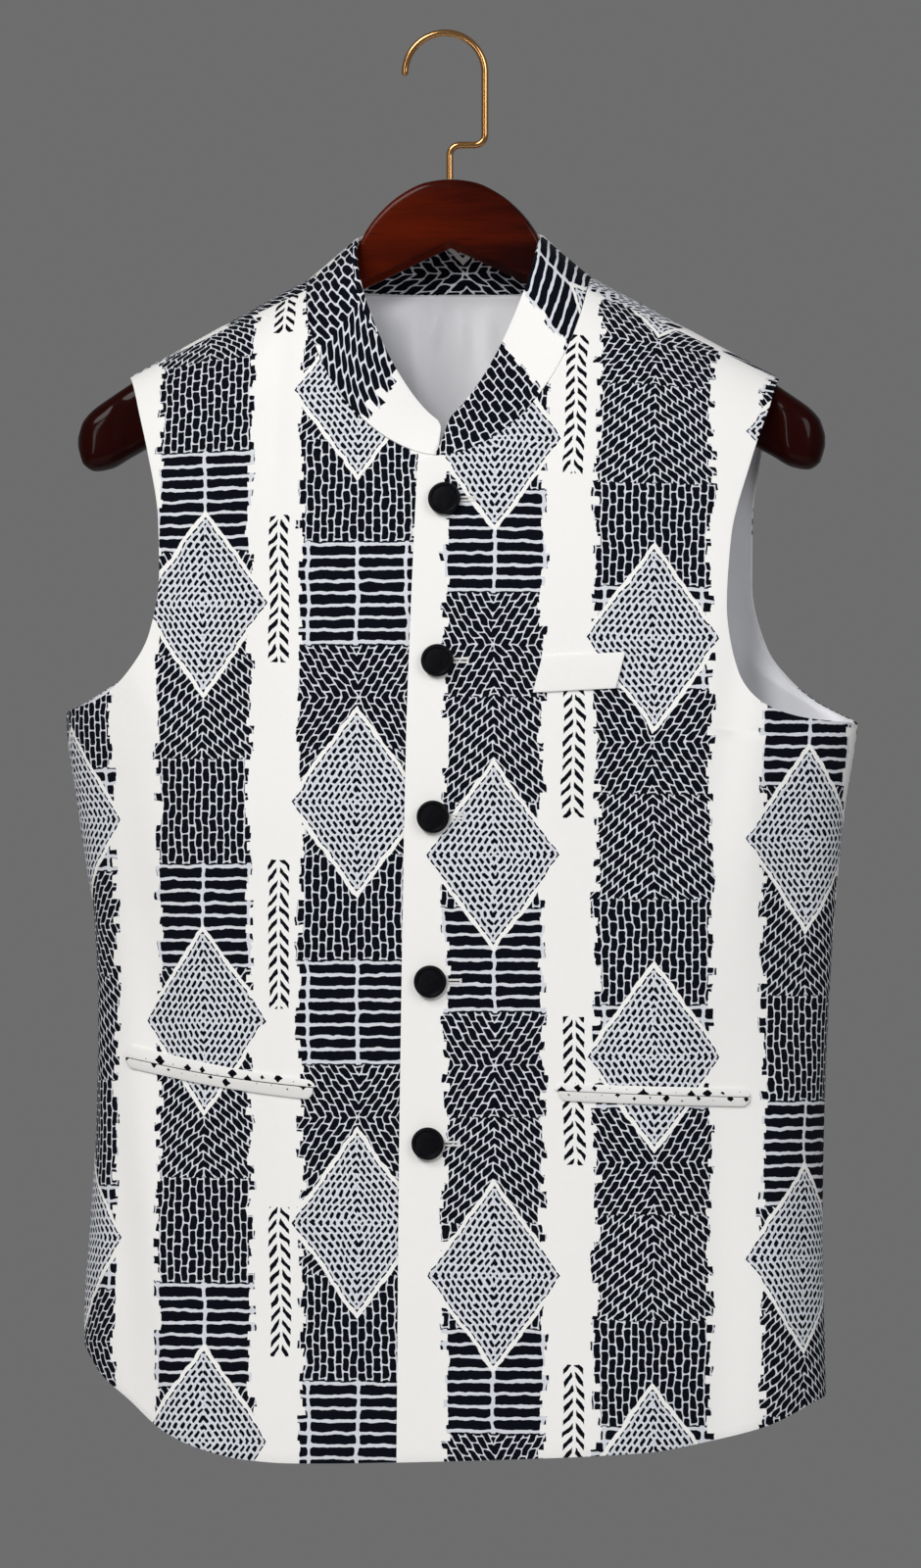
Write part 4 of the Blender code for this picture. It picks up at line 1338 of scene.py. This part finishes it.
def make_button(number, height, finish):
    """A round button with a raised rim and a slightly domed middle, turned from its profile."""
    place = closing_place(height)
    turned = outward(*place).to_track_quat("Z", "Y").to_matrix().to_4x4()
    turned.translation = metres(cloth(place, BUTTON_LIFT))
    bm = bmesh.new()
    rim = [bm.verts.new((radius * MM, 0, rise * MM)) for radius, rise in BUTTON_PROFILE]
    edges = [bm.edges.new(pair) for pair in zip(rim, rim[1:])]
    bmesh.ops.spin(bm, geom=rim + edges, cent=(0, 0, 0), axis=(0, 0, 1),
                   angle=2 * math.pi, steps=72, use_merge=True, use_duplicate=False)
    bmesh.ops.remove_doubles(bm, verts=bm.verts, dist=4e-6)
    bmesh.ops.holes_fill(bm, edges=bm.edges, sides=80)
    bmesh.ops.recalc_face_normals(bm, faces=bm.faces)
    bmesh.ops.transform(bm, matrix=turned, verts=bm.verts)
    return new_piece(f"coat_button_{number}", f"button_{number}", "buttons", bm, finish,
                     smooth_angle=60)


def add_stitch(bm, start, end, out):
    """One short stitch: a low rounded bar from start to end, in millimetres."""
    along = end - start
    made = bmesh.ops.create_uvsphere(bm, u_segments=8, v_segments=5, radius=1)["verts"]
    side = along.normalized().cross(out).normalized()
    for vert in made:
        x, y, z = vert.co
        vert.co = metres((start + end) / 2 + along * (z * 0.5) + side * (x * STITCH_RADIUS)
                         + out * (y * STITCH_RADIUS * 0.8))


def make_buttonhole(number, height, finish):
    """Worked buttonhole behind a button: short stitches round a level slit."""
    middle = face_point(*closing_place(height)).x
    bm = bmesh.new()
    for k in range(HOLE_STITCHES + 1):
        x = middle + blend(*HOLE_RUN, k / HOLE_STITCHES)
        for way in (1, -1):
            inner, outer = (locate(x, height + way * reach) for reach in HOLE_REACH)
            add_stitch(bm, cloth(inner, STITCH_LIFT), cloth(outer, STITCH_LIFT), outward(*inner))
    for k in range(BAR_STITCHES + 1):
        z = height + blend(-BAR_HALF, BAR_HALF, k / BAR_STITCHES)
        inner, outer = (locate(middle + x, z) for x in BAR_RUN)
        add_stitch(bm, cloth(inner, BAR_LIFT), cloth(outer, BAR_LIFT), outward(*inner))
    return new_piece(f"buttonhole_{number}", "", "printed_cloth", bm, finish)


def ring_of(bm, sides, radius, spot):
    """A ring of edges; spot moves each corner of a circle to its place in millimetres."""
    ring = bmesh.ops.create_circle(bm, segments=sides, radius=radius)["verts"]
    edges = {edge for vert in ring for edge in vert.link_edges}
    for vert in ring:
        vert.co = metres(spot(vert.co))
    return list(edges)


def bridge(bm, rings, poked):
    """Joins each ring to the next with faces, and closes both ends."""
    for before, after in zip(rings, rings[1:]):
        bmesh.ops.bridge_loops(bm, edges=before + after)
    for ring in (rings[0], rings[-1]):
        cap = bmesh.ops.contextual_create(bm, geom=ring)["faces"]
        if poked:
            bmesh.ops.poke(bm, faces=cap)
    bmesh.ops.recalc_face_normals(bm, faces=bm.faces)


def wood_section(bm, x):
    """One section of the hanger, a flattened oval in the plane across its arm."""
    reach = abs(x)
    top = ridge(x) - WOOD.read("under_ridge", reach)
    bottom = WOOD.read("bottom", reach)
    depth = WOOD.read("half_depth", reach)
    middle, half = (top + bottom) / 2, (top - bottom) / 2
    to_arm = ease((reach - 45) / 40)
    power = 2 / blend(HEAD_ROUNDNESS, ARM_ROUNDNESS, to_arm)
    slant = blend(HEAD_SLANT, 0.0, to_arm)

    def spot(corner):
        across = signed_power(corner.x, power) * depth
        up = signed_power(corner.y, power) * half
        slanted = max(0.0, slant - (up + half)) * HEAD_SLOPE
        across = math.copysign(min(abs(across), depth - slanted), across)
        return Vector((x, across, middle + up))
    return ring_of(bm, WOOD_SIDES, 1, spot)


def make_hanger(finish):
    """Arms and head, bridged from section to section and closed at both ends."""
    reach = WOOD.keys[-1]
    shares = [k / WOOD_SECTIONS for k in range(WOOD_SECTIONS + 1)]
    places = [reach * math.sin(blend(-SIDE, SIDE, share)) * 0.55
              + reach * blend(-1, 1, share) * 0.45 for share in shares]
    bm = bmesh.new()
    bridge(bm, [wood_section(bm, x) for x in places], True)
    return new_piece("hanger_wood", "hanger", "hanger_wood", bm, finish, smooth_angle=50)


# Wire hook, from its tip over the crown down to the wood
WIRE_RADIUS = 2.1
WIRE_SIDES = 32
HOOK_RADIUS = 23.8
HOOK_CROWN = -3.5
HOOK_TIP = 179                # degrees round the crown at which the wire starts
HOOK_RUN = -64.4
HOOK_STEM = -0.6
HOOK_STEM_END = -84.4
HOOK_BEND = 6.0
TIP_RINGS = 5                 # rings that round off the wire's tip


def arc(across, height, radius, start, end, steps):
    """Points of an arc in the plane of the hanger, angles in degrees."""
    turns = [math.radians(blend(start, end, k / steps)) for k in range(steps + 1)]
    return [Vector((across + radius * math.cos(t), 0, height + radius * math.sin(t)))
            for t in turns]


def make_hook(finish):
    """Round wire swept along its middle line, with a rounded tip."""
    bends = ((HOOK_CROWN, WIRE_RADIUS - HOOK_RADIUS, HOOK_RADIUS, HOOK_TIP, 0, 64),
             (HOOK_CROWN + HOOK_RADIUS - HOOK_BEND, HOOK_RUN + HOOK_BEND, HOOK_BEND, 0, -90, 14),
             (HOOK_STEM + HOOK_BEND, HOOK_RUN - HOOK_BEND, HOOK_BEND, 90, 180, 14))
    points = [point for bend in bends for point in arc(*bend)]
    points.append(Vector((HOOK_STEM, 0, HOOK_STEM_END)))
    first = (points[0] - points[1]).normalized()
    turns = [k * math.pi / 12 for k in range(TIP_RINGS, 0, -1)]
    path = [(points[0] + first * (WIRE_RADIUS * math.sin(turn)), math.cos(turn)) for turn in turns]
    path += [(point, 1.0) for point in points]
    bm = bmesh.new()
    rings = []
    for k, (point, share) in enumerate(path):
        before = path[max(0, k - 1)][0]
        after = path[min(len(path) - 1, k + 1)][0]
        side = (after - before).normalized().cross(Vector((0, 1, 0)))
        rings.append(ring_of(bm, WIRE_SIDES, WIRE_RADIUS * share, lambda corner: (
            point + side * corner.x + Vector((0, corner.y, 0)))))
    bridge(bm, rings, False)
    return new_piece("wire_hook", "hanger_hook", "hook_wire", bm, finish, smooth_angle=60)


# Studio

VIEW_AZIMUTH = 6.5            # degrees, towards the wearer's left
VIEW_DISTANCE = 8.0
VIEW_HEIGHT = 0.928           # what the frame takes in at the hanger, in metres
VIEW_CENTRE = Vector((0.0093, 0.0, -0.4425))
FLOOR_HEIGHT = -1.5
FLOOR_RADIUS = 1.6
SENSOR = 36.0
WHITE = (1, 1, 1)
SOFT_LIGHTS = (   # name, place, aim, size, power, colour, height of a panel, seen in reflections
    ("key_light", (-1.4, -2.3, 1.5), VIEW_CENTRE, 1.4, 40, (1.0, 0.99, 0.975), 0.0, True),
    ("fill_light", (1.9, -2.3, 0.7), VIEW_CENTRE, 1.8, 30, (0.97, 0.985, 1.0), 0.0, True),
    ("tall_light", (-1.6, -3.6, -0.3), VIEW_CENTRE, 0.35, 14, (1.0, 0.995, 0.985), 2.6, True),
    ("front_light", (-0.5, -3.7, 1.0), Vector((0, 0, -0.3)), 0.8, 54, WHITE, 0.0, False),
    ("back_light", (-0.6, 3.0, 0.1), VIEW_CENTRE, 2.6, 50, WHITE, 0.0, False),
)


def aimed(item, spot, target):
    item.location = spot
    item.rotation_euler = (target - spot).to_track_quat("-Z", "Y").to_euler()
    bpy.context.scene.collection.objects.link(item)
    return item


def soft_light(name, spot, target, size, power, shade, height, mirrored):
    """A soft light: a disk, or an upright panel where it has a height."""
    lamp = bpy.data.lights.new(name, "AREA")
    lamp.shape = "RECTANGLE" if height else "DISK"
    lamp.size = size
    if height:
        lamp.size_y = height
    lamp.energy = power
    lamp.color = shade
    item = aimed(bpy.data.objects.new(name, lamp), Vector(spot), target)
    item.visible_camera = False
    item.visible_glossy = mirrored


def make_studio(paper, light_grey):
    bm = bmesh.new()
    bmesh.ops.create_circle(bm, cap_ends=True, segments=96, radius=FLOOR_RADIUS)
    for vert in bm.verts:
        vert.co.z = FLOOR_HEIGHT
    mesh = bpy.data.meshes.new("studio_floor")
    bm.to_mesh(mesh)
    bm.free()
    mesh.materials.append(studio_paper("pale_paper", paper))
    floor = bpy.data.objects.new("studio_floor", mesh)
    bpy.context.scene.collection.objects.link(floor)

    world = bpy.data.worlds.new("studio")
    world.use_nodes = True
    sky = world.node_tree.nodes["Background"]
    sky.inputs["Color"].default_value = (*light_grey, 1.0)
    sky.inputs["Strength"].default_value = 1.0
    scene = bpy.context.scene
    scene.world = world
    scene.view_settings.view_transform = "Standard"
    scene.view_settings.look = "None"
    for light in SOFT_LIGHTS:
        soft_light(*light)

    turn = math.radians(VIEW_AZIMUTH)
    spot = VIEW_CENTRE + Vector((math.sin(turn), -math.cos(turn), 0)) * VIEW_DISTANCE
    lens = bpy.data.cameras.new("camera")
    lens.sensor_width = SENSOR
    lens.lens = SENSOR * VIEW_DISTANCE / VIEW_HEIGHT
    lens.clip_end = 100
    scene.camera = aimed(bpy.data.objects.new("camera", lens), spot, VIEW_CENTRE)


# Settings, operators and panel

COLOUR = {"subtype": "COLOR", "min": 0, "max": 1}


class JacketColours(bpy.types.PropertyGroup):
    """Colours of the jacket's cloth and trimmings."""
    ivory: FloatVectorProperty(
        name="Ivory", description="Ground of the cloth", default=(0.86, 0.85, 0.83), **COLOUR)
    ink: FloatVectorProperty(
        name="Ink", description="Printed stitches", default=(0.0012, 0.0015, 0.0035), **COLOUR)
    band: FloatVectorProperty(
        name="Band", description="Ground between the printed stitches",
        default=(0.62, 0.64, 0.69), **COLOUR)
    lining: FloatVectorProperty(
        name="Lining", description="Lining inside the jacket", default=(0.90, 0.90, 0.93), **COLOUR)
    buttons: FloatVectorProperty(
        name="Buttons", description="Buttons on the front",
        default=(0.0016, 0.0017, 0.0026), **COLOUR)


class HangerColours(bpy.types.PropertyGroup):
    """Colours of the hanger."""
    wood: FloatVectorProperty(
        name="Stain", description="Dark part of the wood's grain",
        default=(0.014, 0.0009, 0.0003), **COLOUR)
    warm: FloatVectorProperty(
        name="Warm grain", description="Lighter part of the wood's grain",
        default=(0.078, 0.0060, 0.0003), **COLOUR)
    brass: FloatVectorProperty(
        name="Brass", description="Wire of the hook", default=(0.72, 0.38, 0.15), **COLOUR)


class StudioSettings(bpy.types.PropertyGroup):
    """Floor and backdrop."""
    paper: FloatVectorProperty(
        name="Floor", description="Pale paper of the floor", default=(0.50, 0.50, 0.50), **COLOUR)
    backdrop: FloatVectorProperty(
        name="Backdrop", description="Grey around the jacket",
        default=(0.155, 0.155, 0.157), **COLOUR)


@cache
def printed_cloth():
    colours = bpy.context.scene.jacket_colours
    return stitched_print("stitched_print", colours.ivory, colours.ink, colours.band)


@cache
def white_lining():
    return satin_lining("white_lining", bpy.context.scene.jacket_colours.lining)


class JACKET_OT_fronts(bpy.types.Operator):
    """Make the two fronts, the upper one on the wearer's left"""
    bl_idname = "jacket.fronts"
    bl_label = "Fronts"

    def execute(self, context):
        for side, word, closing in ((1, "left", "buttonhole"), (-1, "right", "coat_button")):
            front = make_front(f"jacket_front_{word}", f"front_{word}", side, FRONT_SHIFTS[word],
                               printed_cloth(), white_lining())
            on_it = [f"pocket_{word}_{name}" for name in ("upper_lip", "lower_lip", "mouth")]
            on_it += [f"{closing}_{number + 1}" for number in range(len(BUTTON_HEIGHTS))]
        return {"FINISHED"}


class JACKET_OT_back(bpy.types.Operator):
    """Make the back in one piece"""
    bl_idname = "jacket.back"
    bl_label = "Back"

    def execute(self, context):
        piece = make_back(printed_cloth(), white_lining())
        return {"FINISHED"}


class JACKET_OT_lining(bpy.types.Operator):
    """Make the lining inside the back"""
    bl_idname = "jacket.lining"
    bl_label = "Lining"

    def execute(self, context):
        piece = make_lining(white_lining())
        return {"FINISHED"}


class JACKET_OT_collar(bpy.types.Operator):
    """Make the band collar"""
    bl_idname = "jacket.collar"
    bl_label = "Collar"

    def execute(self, context):
        piece = make_collar(printed_cloth())
        return {"FINISHED"}


class JACKET_OT_pockets(bpy.types.Operator):
    """Make the chest welt and the lips of the two lower pockets"""
    bl_idname = "jacket.pockets"
    bl_label = "Pockets"

    def execute(self, context):
        colours = context.scene.jacket_colours
        plain = plain_cloth("plain_ivory", colours.ivory)
        welt = lying_strip("chest_welt_cloth", "chest_welt", (40, 18), welt_spot, WELT_LAID, plain,
                           swell=WELT_SWELL)
        shadow = plain_cloth("pocket_shadow", colours.ink)
        # the lower lips take a copy of the strewn cloth painted darker, as painted shade
        marked = [strewn_cloth(name, toned(colours.ivory, share), colours.ink)
                  for name, share in (("strewn_cloth", 1.0), ("strewn_painted_shade", 0.86))]
        for row, node in enumerate(POCKET_NAMES):
            lying_strip(node + "_lip", node, (120, 8), lip_spot(row), LIP_LAID, marked[row % 2],
                        swell=LIP_SWELL, cut=row * LIP_STEP)
            if row % 2 == 0:
                lying_strip(node.replace("upper", "mouth"), "", (80, 2), mouth_spot(row),
                            MOUTH_LAID, shadow)
        return {"FINISHED"}


class JACKET_OT_buttons(bpy.types.Operator):
    """Make the five buttons and their worked buttonholes"""
    bl_idname = "jacket.buttons"
    bl_label = "Buttons"

    def execute(self, context):
        colours = context.scene.jacket_colours
        black = satin_black("satin_black", colours.buttons)
        thread = twisted_thread("ivory_thread", toned(colours.ivory, 0.9))
        for number, height in enumerate(BUTTON_HEIGHTS, start=1):
            make_button(number, height, black)
            make_buttonhole(number, height, thread)
        return {"FINISHED"}


class JACKET_OT_hanger(bpy.types.Operator):
    """Make the wooden hanger and its wire hook"""
    bl_idname = "jacket.hanger"
    bl_label = "Hanger"

    def execute(self, context):
        colours = context.scene.hanger_colours
        make_hanger(polished_wood("polished_wood", colours.wood, colours.warm))
        make_hook(brass_wire("brass_wire", colours.brass))
        return {"FINISHED"}


class JACKET_OT_studio(bpy.types.Operator):
    """Make the floor, the lights and the camera"""
    bl_idname = "jacket.studio"
    bl_label = "Studio"

    def execute(self, context):
        settings = context.scene.studio_settings
        make_studio(settings.paper, settings.backdrop)
        return {"FINISHED"}


STEPS = (JACKET_OT_studio, JACKET_OT_hanger, JACKET_OT_buttons, JACKET_OT_pockets,
         JACKET_OT_fronts, JACKET_OT_back, JACKET_OT_lining, JACKET_OT_collar)
GROUPS = {"jacket_colours": JacketColours, "hanger_colours": HangerColours,
          "studio_settings": StudioSettings}


class JACKET_PT_sidebar(bpy.types.Panel):
    """Jacket's settings and steps"""
    bl_idname = "JACKET_PT_sidebar"
    bl_label = "Nehru Jacket"
    bl_space_type = "VIEW_3D"
    bl_region_type = "UI"
    bl_category = "Jacket"

    def draw(self, context):
        for name, group in GROUPS.items():
            box = self.layout.box()
            for field in group.__annotations__:
                box.prop(getattr(context.scene, name), field)
        for step in STEPS:
            self.layout.operator(step.bl_idname)


def register():
    for name, group in GROUPS.items():
        bpy.utils.register_class(group)
        setattr(bpy.types.Scene, name, PointerProperty(type=group))
    for item in (*STEPS, JACKET_PT_sidebar):
        bpy.utils.register_class(item)


def unregister():
    for item in reversed((*STEPS, JACKET_PT_sidebar)):
        bpy.utils.unregister_class(item)
    for name, group in GROUPS.items():
        delattr(bpy.types.Scene, name)
        bpy.utils.unregister_class(group)


def main():
    register()
    for step in STEPS:
        group, name = step.bl_idname.split(".")
        getattr(getattr(bpy.ops, group), name)()
    bpy.context.view_layer.update()


if __name__ == "__main__":
    main()
